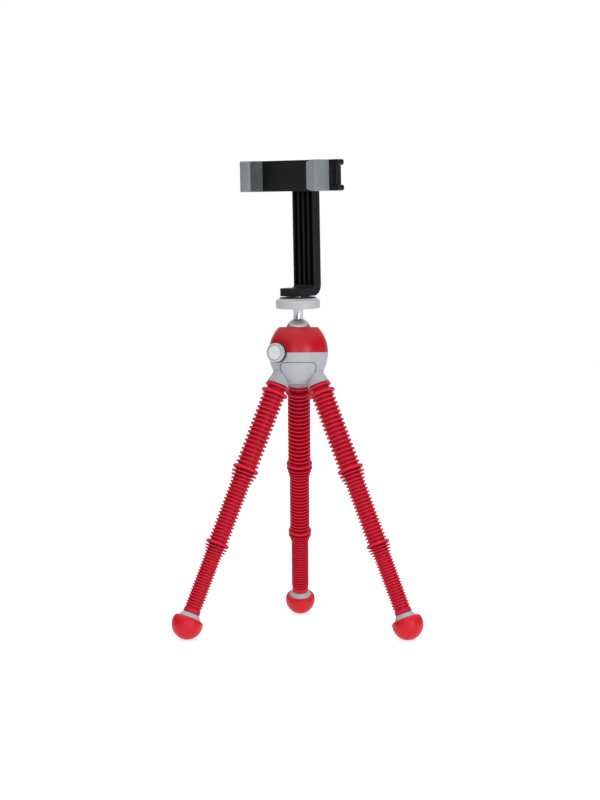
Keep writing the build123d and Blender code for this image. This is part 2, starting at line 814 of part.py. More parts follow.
with BuildPart() as lower_cup:
    cup_top = -liner_bottom - joint_gap
    with BuildSketch(turning_plane(ball_frame)):
        with BuildLine():
            ThreePointArc(
                (chord(seat_r, cup_top), cup_top), (seat_r * sin(pi / 4), -seat_r * cos(pi / 4)), (0, -seat_r)
            )
            Polyline(
                (0, -seat_r), (0, -cup_stub_bottom), (cup_nose_r, -cup_stub_bottom),
                (cup_stub_r, -cup_stub_bottom + cup_stub_r - cup_nose_r), (cup_stub_r, -cup_floor),
                (cup_r - cup_floor - cup_top + cup_skirt, -cup_floor), (cup_r, cup_top - cup_skirt),
                (cup_r, cup_top), (chord(seat_r, cup_top), cup_top),
            )
        make_face()
    revolve(axis=turning_axis(ball_frame))
save(lower_cup.part, "lower_cup")

head_axis = direction(lean_azimuth, 180 - lean)
head_side = (Vector(1, 0, 0) - head_axis * head_axis.X).normalized()


def head_frame(height):
    """Plane across the head axis at a height above the ball centre, X to the viewer's right."""
    return Plane(ball_centre + head_axis * height, x_dir=head_side, z_dir=head_axis)


with BuildPart() as ball_stud:
    with BuildSketch(turning_plane(head_frame(0))):
        with BuildLine():
            ThreePointArc((0, -ball_r), (ball_r, 0), (0, ball_r))
            Line((0, ball_r), (0, -ball_r))
        make_face()
    revolve(axis=turning_axis(head_frame(0)))
    with BuildSketch(head_frame(neck_bottom)):
        RegularPolygon(neck_flats / 2, 6, major_radius=False, rotation=30)
    extrude(amount=neck_top - neck_bottom)
    with BuildSketch(head_frame(neck_top)):
        Circle(stud_flange_r)
    extrude(amount=stud_flange_t)
    with BuildSketch(head_frame(neck_top)):
        Circle(stud_r)
    extrude(amount=stud_top - neck_top)
    chamfer(ball_stud.faces().sort_by(Axis.Z)[-1].edges(), stud_chamfer)
save(ball_stud.part, "ball_stud")

# Lock knob: plunger, shaft and face, along the knob's own axis

knob_back = knob_face - knob_t
knob_frame = radial_frame(knob_azimuth)

with BuildPart() as lock_knob:
    with BuildSketch(turning_plane(knob_frame)):
        with BuildLine():
            Polyline(
                (knob_bore_r, knob_shaft_end), (knob_shaft_r, knob_shaft_end),
                (knob_shaft_r, clip_start), (clip_groove_r, clip_start),
                (clip_groove_r, clip_start + clip_t + seat_gap * 2),
                (knob_shaft_r, clip_start + clip_t + seat_gap * 2),
                (knob_shaft_r, knob_back), (knob_r - knob_chamfer / 2, knob_back),
                (knob_r, knob_back + knob_chamfer / 2), (knob_r, knob_face - knob_chamfer),
                (knob_r - knob_chamfer, knob_face), (knob_cap_r + knob_cap_seam, knob_face),
                (knob_cap_r + knob_cap_seam, knob_face - knob_cap_t), (0, knob_face - knob_cap_t),
                (0, knob_bore_end), (knob_bore_r, knob_bore_end), (knob_bore_r, knob_shaft_end),
            )
        make_face()
    revolve(axis=turning_axis(knob_frame))
    with BuildSketch(radial_frame(knob_azimuth, knob_back)):
        with PolarLocations(knob_r + knob_flute_r / 2, knob_flutes):
            Circle(knob_flute_r)
    extrude(amount=knob_t - knob_chamfer, mode=Mode.SUBTRACT)
save(lock_knob.part, "lock_knob")

with BuildPart() as knob_cap:
    with BuildSketch(radial_frame(knob_azimuth, knob_face - knob_cap_t + seat_gap)):
        Circle(knob_cap_r)
    extrude(amount=knob_cap_t - knob_cap_sink)
save(knob_cap.part, "knob_cap")

with BuildPart() as knob_clip:
    with BuildSketch(radial_frame(knob_azimuth, clip_start + seat_gap)):
        Circle(clip_r)
        Circle(clip_groove_r + seat_gap, mode=Mode.SUBTRACT)
        with Locations((clip_r, 0)):
            Rectangle(clip_r * 2, clip_groove_r, mode=Mode.SUBTRACT)
    extrude(amount=clip_t)
save(knob_clip.part, "knob_clip")

with BuildPart() as knob_washer:
    with BuildSketch(radial_frame(knob_azimuth, knob_boss_end)):
        Circle(knob_washer_r)
        Circle(knob_shaft_r + run_gap, mode=Mode.SUBTRACT)
    extrude(amount=knob_back - joint_gap - knob_boss_end)
save(knob_washer.part, "knob_washer")

with BuildPart() as lock_plunger:
    with BuildSketch(turning_plane(knob_frame)):
        with BuildLine():
            Polyline(
                (0, plunger_tip), (plunger_tip_r, plunger_tip),
                (plunger_r, plunger_tip + plunger_r - plunger_tip_r),
                (plunger_r, plunger_flange_distance), (plunger_flange_r, plunger_flange_distance),
                (plunger_flange_r, plunger_flange_distance + plunger_flange_t),
                (plunger_r, plunger_flange_distance + plunger_flange_t), (plunger_r, plunger_end),
                (0, plunger_end), (0, plunger_tip),
            )
        make_face()
    revolve(axis=turning_axis(knob_frame))
save(lock_plunger.part, "lock_plunger")

# Lock disk

turning_bore_r = stud_r + run_gap

with BuildPart() as lock_disk:
    with BuildSketch(turning_plane(head_frame(0))):
        with BuildLine():
            Polyline(
                (stud_flange_r + run_gap, disk_bottom), (disk_r - disk_edge, disk_rim_bottom),
                (disk_r, disk_rim_bottom + disk_edge), (disk_r, disk_rim_top), (disk_land_r, disk_top),
                (pad_r + seat_gap, disk_top), (pad_r + seat_gap, pad_bottom),
                (turning_bore_r, pad_bottom), (turning_bore_r, neck_top + stud_flange_t + joint_gap),
                (stud_flange_r + run_gap, neck_top + stud_flange_t + joint_gap),
                (stud_flange_r + run_gap, disk_bottom),
            )
        make_face()
    revolve(axis=turning_axis(head_frame(0)))
save(lock_disk.part, "lock_disk")

with BuildPart() as disk_pad:
    with BuildSketch(head_frame(pad_bottom)):
        Circle(pad_r)
        Circle(turning_bore_r, mode=Mode.SUBTRACT)
    extrude(amount=pad_top - pad_bottom)
    fillet(rims(disk_pad, pad_r).sort_by(Axis.Z)[-1], pad_edge_r)
save(disk_pad.part, "disk_pad")

# Phone arm

arm_u = head_side.rotate(Axis(Vector(0, 0, 0), head_axis), -arm_yaw)
arm_n = arm_u.cross(head_axis)


def front_plane(height, depth):
    """Plane that faces the phone side: x along the clamp, y up, origin `depth` before the stud."""
    return Plane(ball_centre + head_axis * height + arm_n * depth, x_dir=arm_u, z_dir=arm_n)


side_plane = Plane(ball_centre, x_dir=-arm_n, z_dir=arm_u)
top_plane = Plane(ball_centre + head_axis * pivot_height, x_dir=arm_u, z_dir=head_axis)
arm_front = arm_back - arm_depth
foot_top_height = foot_bottom + arm_foot_t
arm_top = pivot_height + arm_half_width

with BuildPart() as phone_arm:
    with BuildSketch(side_plane) as arm_side:
        with BuildLine():
            Polyline(
                (-arm_foot_front, foot_bottom), (arm_back, foot_bottom), (arm_back, arm_top),
                (arm_front, arm_top), (arm_front, foot_top_height),
                (-arm_foot_front, foot_top_height), close=True,
            )
        make_face()
        corners = arm_side.vertices().sort_by(Axis.Y)
        fillet(corners.group_by(Axis.Y)[0].sort_by(Axis.X)[-1], arm_bend_r)
        fillet(arm_side.vertices().filter_by(
            lambda v: abs(v.X - arm_front) < seat_gap and abs(v.Y - foot_top_height) < seat_gap
        ), arm_inner_r)
    extrude(amount=arm_half_width, both=True)
    # round the upright's top about the pivot
    with BuildSketch(front_plane(0, 0)):
        with Locations((0, (foot_bottom + pivot_height) / 2)):
            Rectangle(arm_half_width * 2, pivot_height - foot_bottom)
        with Locations((0, pivot_height)):
            Circle(arm_half_width)
    extrude(amount=arm_back * 2, both=True, mode=Mode.INTERSECT)
    # channels between thin ribs down the front of the upright
    channel_w = (2 * (arm_half_width - channel_wall) - channel_ribs * channel_rib_t) / (channel_ribs + 1)
    channel_bottom = foot_top_height + arm_inner_r
    channel_h = pivot_height - channel_end - channel_bottom
    with BuildSketch(front_plane(channel_bottom + channel_h / 2, -arm_front)):
        with GridLocations(channel_w + channel_rib_t, 0, channel_ribs + 1, 1):
            Rectangle(channel_w, channel_h)
    extrude(amount=-channel_depth, mode=Mode.SUBTRACT)
    with BuildSketch(head_frame(foot_bottom)):
        Circle(insert_r + seat_gap)
    extrude(amount=insert_h, mode=Mode.SUBTRACT)
    with BuildSketch(front_plane(pivot_height, -arm_back)):
        Circle(pivot_r + seat_gap)
    extrude(amount=arm_depth, mode=Mode.SUBTRACT)
    with BuildSketch(front_plane(pivot_height, -arm_back)):
        RegularPolygon(nut_r + seat_gap, 6)
    extrude(amount=nut_t + seat_gap, mode=Mode.SUBTRACT)
save(phone_arm.part, "phone_arm")

with BuildPart() as arm_insert:
    with BuildSketch(head_frame(foot_bottom)):
        Circle(insert_r)
        Circle(turning_bore_r, mode=Mode.SUBTRACT)
    extrude(amount=insert_h - seat_gap)
save(arm_insert.part, "arm_insert")

with BuildPart() as pivot_nut:
    with BuildSketch(front_plane(pivot_height, -arm_back)):
        RegularPolygon(nut_r, 6)
        Circle(pivot_r + seat_gap, mode=Mode.SUBTRACT)
    extrude(amount=nut_t)
save(pivot_nut.part, "pivot_nut")

clamp_back = arm_front - washer_t - run_gap
head_seat = clamp_front - pivot_head_sink - pivot_head_t

with BuildPart() as pivot_washer:
    with BuildSketch(front_plane(pivot_height, -arm_front)):
        Circle(washer_r)
        Circle(pivot_r + run_gap, mode=Mode.SUBTRACT)
    extrude(amount=washer_t)
save(pivot_washer.part, "pivot_washer")

with BuildPart() as pivot_screw:
    with BuildSketch(front_plane(pivot_height, head_seat)):
        Circle(pivot_head_r)
    extrude(amount=pivot_head_t)
    with BuildSketch(front_plane(pivot_height, head_seat)):
        Circle(pivot_r)
    extrude(amount=-head_seat - arm_back + pivot_end_gap)
save(pivot_screw.part, "pivot_screw")

# Phone clamp

clamp_inner = clamp_front - clamp_wall
cover_front = clamp_back - clamp_back_cover_t
cavity_half_h = clamp_half_h - clamp_side_wall
jaw_front = clamp_front + jaw_reach
clamp_centre = (clamp_body_right - clamp_left) / 2
clamp_length = clamp_body_right + clamp_left


def block(left, right, low, high, front, back, mode=Mode.ADD):
    """Rectangular block of the clamp inside the open builder: u, v and depth before the stud."""
    with BuildSketch(front_plane(pivot_height, front)) as outline:
        with Locations(((left + right) / 2, (low + high) / 2)):
            Rectangle(right - left, high - low)
    extrude(outline.sketch, amount=back - front, mode=mode)


def make_jaw_pad(outer, inner, hollow_side):
    """Rubber cap of a jaw: outer and inner face places along u; the hollow faces the phone."""
    middle = (clamp_front + jaw_front) / 2
    core_outer = outer + hollow_side * jaw_skin
    core_inner = core_outer + hollow_side * jaw_core_t
    with BuildPart() as pad:
        with BuildSketch(top_plane) as section:
            with BuildLine():
                Polyline((inner, -jaw_front), (outer, -jaw_front), (outer, -clamp_front - seat_gap),
                         (inner, -clamp_front - seat_gap))
                ThreePointArc((inner, -clamp_front - seat_gap), (inner - hollow_side * jaw_hollow, -middle),
                              (inner, -jaw_front))
            make_face()
            fillet(section.vertices().group_by(Axis.Y)[0], jaw_round)
        extrude(amount=clamp_half_h, both=True)
        low, high = sorted((core_outer, core_inner))
        half = clamp_half_h - jaw_skin + seat_gap
        block(low - seat_gap, high + seat_gap, -half, half,
              jaw_front - jaw_skin + seat_gap, clamp_front, Mode.SUBTRACT)
    return pad.part


with BuildPart() as clamp_body:
    block(-clamp_left, clamp_body_right, -clamp_half_h, clamp_half_h, clamp_front, -cover_front)
    block(-clamp_left + clamp_wall, clamp_body_right + overrun, -cavity_half_h, cavity_half_h,
          clamp_inner, -cover_front - overrun, Mode.SUBTRACT)
    # posts for the cover screws and the boss round the pivot
    with BuildSketch(front_plane(pivot_height, clamp_inner)):
        Circle(pivot_boss_r)
        with Locations(*[(place, 0) for place in post_places]):
            Circle(post_r)
    extrude(amount=-clamp_inner - cover_front)
    with BuildSketch(front_plane(pivot_height, -cover_front)):
        with Locations(*[(place, 0) for place in post_places]):
            Circle(clamp_screw_r + seat_gap)
    extrude(amount=clamp_screw_bite + seat_gap, mode=Mode.SUBTRACT)
    with BuildSketch(front_plane(pivot_height, clamp_front)):
        Circle(pivot_r + run_gap)
    extrude(amount=-clamp_front - cover_front, mode=Mode.SUBTRACT)
    with BuildSketch(front_plane(pivot_height, clamp_front)):
        Circle(pivot_head_r + run_gap)
    extrude(amount=head_seat - clamp_front - run_gap, mode=Mode.SUBTRACT)
    # core of the fixed jaw
    block(-clamp_left + jaw_skin, -clamp_left + jaw_skin + jaw_core_t, -clamp_half_h + jaw_skin,
          clamp_half_h - jaw_skin, jaw_front - jaw_skin, clamp_inner)
save(clamp_body.part, "clamp_body")

with BuildPart() as clamp_cover:
    block(-clamp_left, clamp_body_right, -clamp_half_h, clamp_half_h, -cover_front - seat_gap, -clamp_back)
    with BuildSketch(front_plane(pivot_height, -clamp_back)):
        Circle(pivot_r + run_gap)
        with Locations(*[(place, 0) for place in post_places]):
            Circle(clamp_screw_r + seat_gap)
    extrude(amount=clamp_back_cover_t, mode=Mode.SUBTRACT)
    with BuildSketch(front_plane(pivot_height, -clamp_back)):
        with Locations(*[(place, 0) for place in post_places]):
            Circle(clamp_screw_head_r + seat_gap)
    extrude(amount=clamp_screw_head_t, mode=Mode.SUBTRACT)
    chamfer(clamp_cover.faces().sort_by(Axis(clamp_cover.part.center(), -arm_n))[-1].outer_wire().edges(),
            cover_chamfer)
save(clamp_cover.part, "clamp_cover")

with BuildPart() as clamp_screws:
    with BuildSketch(front_plane(pivot_height, -clamp_back + clamp_screw_head_t - seat_gap)):
        with Locations(*[(place, 0) for place in post_places]):
            Circle(clamp_screw_head_r)
    extrude(amount=seat_gap - clamp_screw_head_t)
    with BuildSketch(front_plane(pivot_height, -clamp_back + clamp_screw_head_t - seat_gap)):
        with Locations(*[(place, 0) for place in post_places]):
            Circle(clamp_screw_r)
    extrude(amount=clamp_back_cover_t - clamp_screw_head_t + clamp_screw_bite)
save(clamp_screws.part, "clamp_screws")

with BuildPart() as clamp_springs:
    spring_start = -clamp_left + clamp_wall + seat_gap
    spring_plane = Plane(
        ball_centre + head_axis * pivot_height - arm_n * spring_depth + arm_u * spring_start,
        x_dir=head_axis, z_dir=arm_u,
    )
    with BuildSketch(spring_plane):
        with Locations((spring_place, 0), (-spring_place, 0)):
            Circle(spring_r)
            Circle(spring_r / 2, mode=Mode.SUBTRACT)
    extrude(amount=slider_left - seat_gap - spring_start)
save(clamp_springs.part, "clamp_springs")

fixed_jaw_pad = make_jaw_pad(-clamp_left, -clamp_left + jaw_t, 1)
save(fixed_jaw_pad, "fixed_jaw_pad")

jaw_right = slider_left + jaw_t
rail_top = cavity_half_h - joint_gap / 2

with BuildPart() as slider:
    block(slider_left, tail_right, -clamp_half_h, clamp_half_h, clamp_front, clamp_front - tail_t)
    for side in (-1, 1):
        low, high = sorted((side * clamp_half_h, side * (clamp_half_h - prong_h)))
        block(tail_right - prong_h, prong_right, low, high, clamp_front, clamp_front - tail_t)
    fillet(slider.edges().filter_by(Axis(ball_centre, arm_n)).group_by(Axis(ball_centre, arm_u))[-1],
           prong_round)
    for side in (-1, 1):
        low, high = sorted((side * rail_top, side * (rail_top - rail_h)))
        block(-rail_end, slider_left + overrun, low, high, clamp_inner - joint_gap, -cover_front + joint_gap)
    block(jaw_right - jaw_skin - jaw_core_t, jaw_right - jaw_skin, -clamp_half_h + jaw_skin,
          clamp_half_h - jaw_skin, jaw_front - jaw_skin, clamp_inner)
    # shallow panel in the tail
    block(jaw_right + clamp_wall, tail_right + overrun, -clamp_half_h + prong_h,
          clamp_half_h - prong_h, clamp_front, clamp_front - tail_pocket, Mode.SUBTRACT)
save(slider.part, "slider")

sliding_jaw_pad = make_jaw_pad(jaw_right, slider_left, -1)
save(sliding_jaw_pad, "sliding_jaw_pad")
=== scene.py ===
"""Dresses the flexible leg tripod for its portrait: ribbed rubber legs, ball head and phone clamp.

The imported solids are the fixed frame. Rubber pieces and springs are surfaces worked out here with
numpy, and the hard pieces are the frame's own meshes, merged and given rounded edges.
"""
from __future__ import annotations

import json
import logging
import math
from dataclasses import dataclass, field
from enum import Enum

import bmesh
import bpy
import numpy as np
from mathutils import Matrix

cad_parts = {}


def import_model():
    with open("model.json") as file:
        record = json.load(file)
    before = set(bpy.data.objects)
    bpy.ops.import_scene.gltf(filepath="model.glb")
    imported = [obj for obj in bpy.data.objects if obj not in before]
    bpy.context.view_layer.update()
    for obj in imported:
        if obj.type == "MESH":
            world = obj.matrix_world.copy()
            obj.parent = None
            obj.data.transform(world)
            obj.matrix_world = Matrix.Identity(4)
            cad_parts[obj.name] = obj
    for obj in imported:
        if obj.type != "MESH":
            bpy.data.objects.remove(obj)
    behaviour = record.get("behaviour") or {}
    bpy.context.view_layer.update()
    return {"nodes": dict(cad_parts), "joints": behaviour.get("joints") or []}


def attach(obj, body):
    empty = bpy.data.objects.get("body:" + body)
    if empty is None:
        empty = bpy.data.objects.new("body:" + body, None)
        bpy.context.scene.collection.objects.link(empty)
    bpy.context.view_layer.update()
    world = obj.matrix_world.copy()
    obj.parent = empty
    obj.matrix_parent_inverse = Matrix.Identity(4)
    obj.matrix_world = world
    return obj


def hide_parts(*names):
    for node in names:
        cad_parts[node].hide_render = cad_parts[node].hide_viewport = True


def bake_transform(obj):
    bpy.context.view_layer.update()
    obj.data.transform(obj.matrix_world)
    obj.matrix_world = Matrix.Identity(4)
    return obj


logging.basicConfig(level=logging.INFO, format="%(levelname)s %(message)s")
log = logging.getLogger("tripod")

MM = 0.001
FULL_TURN = 2.0 * math.pi
JOIN_DISTANCE = 1e-6
FLAT_ANGLE = math.radians(0.5)  # faces that bend less than this are one face


class Leg(Enum):
    """The three legs, by the end of their nodes' names."""

    FRONT_LEFT = "front_left"
    FRONT_RIGHT = "front_right"
    REAR = "rear"


class Grain(Enum):
    """How fine the moulded grain of a finish is: size of a grain and its depth, in metres."""

    FINE = (0.00022, 0.000006)
    SATIN = (0.00035, 0.000008)
    COARSE = (0.0005, 0.00002)


# ---------------------------------------------------------------- frames and surfaces


@dataclass(frozen=True)
class Axes:
    """A right-handed set of axes in the row frame, in metres."""

    origin: np.ndarray
    x: np.ndarray
    y: np.ndarray
    z: np.ndarray

    @classmethod
    def along(cls, origin: np.ndarray, z: np.ndarray, x_hint: np.ndarray) -> "Axes":
        """Axes with z along a direction and x as near as can be to a hint.

        Args:
            origin: where the axes start.
            z: direction of the z axis.
            x_hint: direction that x leans towards.

        Returns:
            The axes, each of length one.
        """
        z = z / np.linalg.norm(z)
        x = x_hint - z * (x_hint @ z)
        x = x / np.linalg.norm(x)
        return cls(origin, x, np.cross(z, x), z)

    def place(self, local: np.ndarray) -> np.ndarray:
        """Points of shape (..., 3) in these axes, as points of the row frame."""
        return (
            self.origin
            + local[..., 0:1] * self.x
            + local[..., 1:2] * self.y
            + local[..., 2:3] * self.z
        )


def grid_faces(rows: int, columns: int, wrap_rows: bool, wrap_columns: bool) -> np.ndarray:
    """Four-cornered faces of a grid of points numbered row by row.

    Args:
        rows: number of rows of points.
        columns: points in a row.
        wrap_rows: whether the last row joins the first.
        wrap_columns: whether each row closes on itself.

    Returns:
        Array of shape (faces, 4) of point numbers.
    """
    r = np.arange(rows if wrap_rows else rows - 1)
    c = np.arange(columns if wrap_columns else columns - 1)
    r, c = (a.ravel() for a in np.meshgrid(r, c, indexing="ij"))
    r_next, c_next = (r + 1) % rows, (c + 1) % columns
    return np.stack(
        [r * columns + c, r * columns + c_next, r_next * columns + c_next, r_next * columns + c], 1
    )


def make_piece(
    name: str,
    points: np.ndarray,
    faces: list[list[int]],
    sharp_above: float = 35.0,
    crown: np.ndarray | None = None,
) -> bpy.types.Object:
    """Makes a mesh object at the origin, with its doubles merged and its faces pointing outwards.

    Args:
        name: name of the piece.
        points: array of shape (n, 3), in metres.
        faces: point numbers of each face.
        sharp_above: edges that bend more than this many degrees stay sharp.
        crown: optional value for each point, kept as the attribute "crown".

    Returns:
        The new object.
    """
    mesh = bpy.data.meshes.new(name)
    mesh.from_pydata(points.tolist(), [], faces)
    if crown is not None:
        layer = mesh.attributes.new("crown", "FLOAT", "POINT")
        layer.data.foreach_set("value", crown.astype(np.float32))
    shape = bmesh.new()
    shape.from_mesh(mesh)
    bmesh.ops.remove_doubles(shape, verts=shape.verts[:], dist=JOIN_DISTANCE)
    bmesh.ops.dissolve_degenerate(shape, edges=shape.edges[:], dist=JOIN_DISTANCE)
    bmesh.ops.recalc_face_normals(shape, faces=shape.faces[:])
    shape.to_mesh(mesh)
    shape.free()
    mesh.shade_smooth()
    mesh.set_sharp_from_angle(angle=math.radians(sharp_above))
    piece = bpy.data.objects.new(name, mesh)
    bpy.context.scene.collection.objects.link(piece)
    return piece


def turned(
    name: str,
    profile: np.ndarray,
    axes: Axes,
    closed: bool,
    segments: int = 96,
    sharp_above: float = 35.0,
    crown: np.ndarray | None = None,
) -> bpy.types.Object:
    """Turned piece: each profile point (radius, height) goes once round the z axis.

    The surface is (r cos a, r sin a, h) for the profile's (r, h) and the turn a.

    Args:
        name: name of the piece.
        profile: array of shape (n, 2), radius and height.
        axes: the piece's axes; it turns about z.
        closed: whether the profile is a closed loop; otherwise it starts and ends on the axis.
        segments: steps round the axis.
        sharp_above: edges that bend more than this many degrees stay sharp.
        crown: optional value for each profile point.

    Returns:
        The new object.
    """
    turn = np.linspace(0.0, FULL_TURN, segments, endpoint=False)
    radius, height = profile[:, 0:1], profile[:, 1:2]
    heights = np.broadcast_to(height, (len(profile), segments))
    local = np.stack([radius * np.cos(turn), radius * np.sin(turn), heights], -1)
    points = axes.place(local).reshape(-1, 3)
    faces = grid_faces(len(profile), segments, closed, True).tolist()
    values = None if crown is None else np.repeat(crown, segments)
    return make_piece(name, points, faces, sharp_above, values)


# ---------------------------------------------------------------- finishes


def linear(colour: tuple[float, float, float]) -> tuple[float, float, float, float]:
    """A colour from 0 to 255 as the renderer's linear colour with alpha."""
    share = np.array(colour) / 255.0
    low, high = share / 12.92, ((share + 0.055) / 1.055) ** 2.4
    return (*(float(v) for v in np.where(share <= 0.04045, low, high)), 1.0)


def new_group(
    name: str, inputs: dict[str, tuple[str, object]], outputs: dict[str, str]
) -> bpy.types.NodeTree:
    """Makes an empty shader node group with named sockets.

    Args:
        name: name of the group.
        inputs: socket name to its type and its value, or None.
        outputs: socket name to its type.

    Returns:
        The group's node tree, with its input and output nodes in place.
    """
    group = bpy.data.node_groups.new(name, "ShaderNodeTree")
    for socket, (kind, value) in inputs.items():
        made = group.interface.new_socket(name=socket, in_out="INPUT", socket_type=f"NodeSocket{kind}")
        if value is not None:
            made.default_value = value
    for socket, kind in outputs.items():
        group.interface.new_socket(name=socket, in_out="OUTPUT", socket_type=f"NodeSocket{kind}")
    group.nodes.new("NodeGroupInput").name = "in"
    group.nodes.new("NodeGroupOutput").name = "out"
    return group


@dataclass
class Wiring:
    """A node tree with short calls to add nodes, set their values and join them."""

    tree: bpy.types.NodeTree

    def node(
        self, kind: str, values: dict[str, object] | None = None, **settings: object
    ) -> bpy.types.Node:
        """Adds a node.

        Args:
            kind: the node's type, without its "ShaderNode" start.
            values: input socket name or number to its value.
            **settings: the node's own settings.

        Returns:
            The new node.
        """
        made = self.tree.nodes.new(f"ShaderNode{kind}")
        for setting, value in settings.items():
            setattr(made, setting, value)
        for socket, value in (values or {}).items():
            made.inputs[socket].default_value = value
        return made

    def join(self, start: bpy.types.NodeSocket, end: bpy.types.NodeSocket) -> None:
        """Joins an output socket to an input socket."""
        self.tree.links.new(start, end)

    def maths(self, operation: str, a: object, b: object, clamp: bool = False) -> bpy.types.NodeSocket:
        """Adds a Math node on two sockets or numbers and returns its output."""
        made = self.node("Math", operation=operation, use_clamp=clamp)
        for place, value in enumerate((a, b)):
            if isinstance(value, bpy.types.NodeSocket):
                self.join(value, made.inputs[place])
            else:
                made.inputs[place].default_value = value
        return made.outputs[0]

    def mix(self, share: bpy.types.NodeSocket, a: object, b: object) -> bpy.types.NodeSocket:
        """Mixes two colours, sockets or values, and returns the output."""
        made = self.node("Mix", data_type="RGBA")
        self.join(share, made.inputs["Factor"])
        for place, value in ((6, a), (7, b)):
            if isinstance(value, bpy.types.NodeSocket):
                self.join(value, made.inputs[place])
            else:
                made.inputs[place].default_value = value
        return made.outputs[2]


BROAD_PATCH = 45.0  # patches of handling per metre, as a noise scale
GRAIN_DETAIL = 2.0
RUB_AND_HIGHLIGHT_SHARPNESS = 6.0  # how closely the paler crown colour, rubbed wear and painted highlight, keeps to the top of a crown
RUB_AND_HIGHLIGHT_LIFT = 40.0  # how much paler a crown is, rubbed wear and painted highlight, on the scale from 0 to 255


def moulded_grain() -> bpy.types.NodeTree:
    """Group for the fine grain of moulded plastic and rubber, and its soft patches of handling."""
    group = new_group(
        "moulded_grain",
        {
            "Position": ("Vector", None),
            "Grain Scale": ("Float", 3000.0),
            "Grain Depth": ("Float", 0.00001),
            "Colour": ("Color", None),
            "Worn Colour": ("Color", None),
            "Roughness": ("Float", 0.5),
            "Roughness Shift": ("Float", 0.1),
        },
        {"Colour": "Color", "Roughness": "Float", "Normal": "Vector"},
    )
    w = Wiring(group)
    given, out = group.nodes["in"].outputs, group.nodes["out"].inputs
    fine = w.node("TexNoise", {"Detail": GRAIN_DETAIL})
    w.join(given["Position"], fine.inputs["Vector"])
    w.join(given["Grain Scale"], fine.inputs["Scale"])
    broad = w.node("TexNoise", {"Scale": BROAD_PATCH, "Detail": 4.0, "Roughness": 0.6})
    w.join(given["Position"], broad.inputs["Vector"])
    bump = w.node("Bump", {"Strength": 1.0})
    w.join(fine.outputs["Fac"], bump.inputs["Height"])
    w.join(given["Grain Depth"], bump.inputs["Distance"])
    w.join(w.mix(broad.outputs["Fac"], given["Colour"], given["Worn Colour"]), out["Colour"])
    shift = w.maths("MULTIPLY", w.maths("SUBTRACT", broad.outputs["Fac"], 0.5), given["Roughness Shift"])
    w.join(w.maths("ADD", given["Roughness"], shift, clamp=True), out["Roughness"])
    w.join(bump.outputs["Normal"], out["Normal"])
    return group


def crown_rub_highlight_valley_shade() -> bpy.types.NodeTree:
    """Group that paints shade into the valleys between ribs and pales their crowns, partly as rubbed
    wear and partly as a painted highlight.
    """
    group = new_group(
        "crown_rub_highlight_valley_shade",
        {
            "Crown": ("Float", 0.0),
            "Colour": ("Color", None),
            "Valley Shade Colour": ("Color", None),
            "Rubbed Highlight Colour": ("Color", None),
            "Rub And Highlight": ("Float", 0.3),
        },
        {"Colour": "Color"},
    )
    w = Wiring(group)
    given, out = group.nodes["in"].outputs, group.nodes["out"].inputs
    # Painted shade: the colour falls to the valley colour where the crown value is low.
    valley_shaded = w.mix(w.maths("MINIMUM", given["Crown"], 1.0), given["Valley Shade Colour"], given["Colour"])
    # Paler crowns: part rubbed wear, part painted highlight.
    top = w.maths("MULTIPLY", w.maths("POWER", given["Crown"], RUB_AND_HIGHLIGHT_SHARPNESS), given["Rub And Highlight"])
    w.join(w.mix(top, valley_shaded, given["Rubbed Highlight Colour"]), out["Colour"])
    return group


def turning_marks() -> bpy.types.NodeTree:
    """Group for the fine rings that a lathe leaves on metal, about the z axis of its position."""
    group = new_group(
        "turning_marks",
        {
            "Position": ("Vector", None),
            "Ring Scale": ("Float", 2500.0),
            "Ring Depth": ("Float", 0.000004),
            "Roughness": ("Float", 0.2),
            "Roughness Shift": ("Float", 0.15),
        },
        {"Roughness": "Float", "Normal": "Vector"},
    )
    w = Wiring(group)
    given, out = group.nodes["in"].outputs, group.nodes["out"].inputs
    parts = w.node("SeparateXYZ")
    w.join(given["Position"], parts.inputs[0])
    squares = w.maths(
        "ADD",
        w.maths("MULTIPLY", parts.outputs["X"], parts.outputs["X"]),
        w.maths("MULTIPLY", parts.outputs["Y"], parts.outputs["Y"]),
    )
    along = w.maths("ADD", w.maths("SQRT", squares, 0.0), parts.outputs["Z"])
    rings = w.node("TexNoise", {"Detail": 3.0}, noise_dimensions="1D")
    w.join(along, rings.inputs["W"])
    w.join(given["Ring Scale"], rings.inputs["Scale"])
    bump = w.node("Bump", {"Strength": 1.0})
    w.join(rings.outputs["Fac"], bump.inputs["Height"])
    w.join(given["Ring Depth"], bump.inputs["Distance"])
    shift = w.maths("MULTIPLY", w.maths("SUBTRACT", rings.outputs["Fac"], 0.5), given["Roughness Shift"])
    w.join(w.maths("ADD", given["Roughness"], shift, clamp=True), out["Roughness"])
    w.join(bump.outputs["Normal"], out["Normal"])
    return group


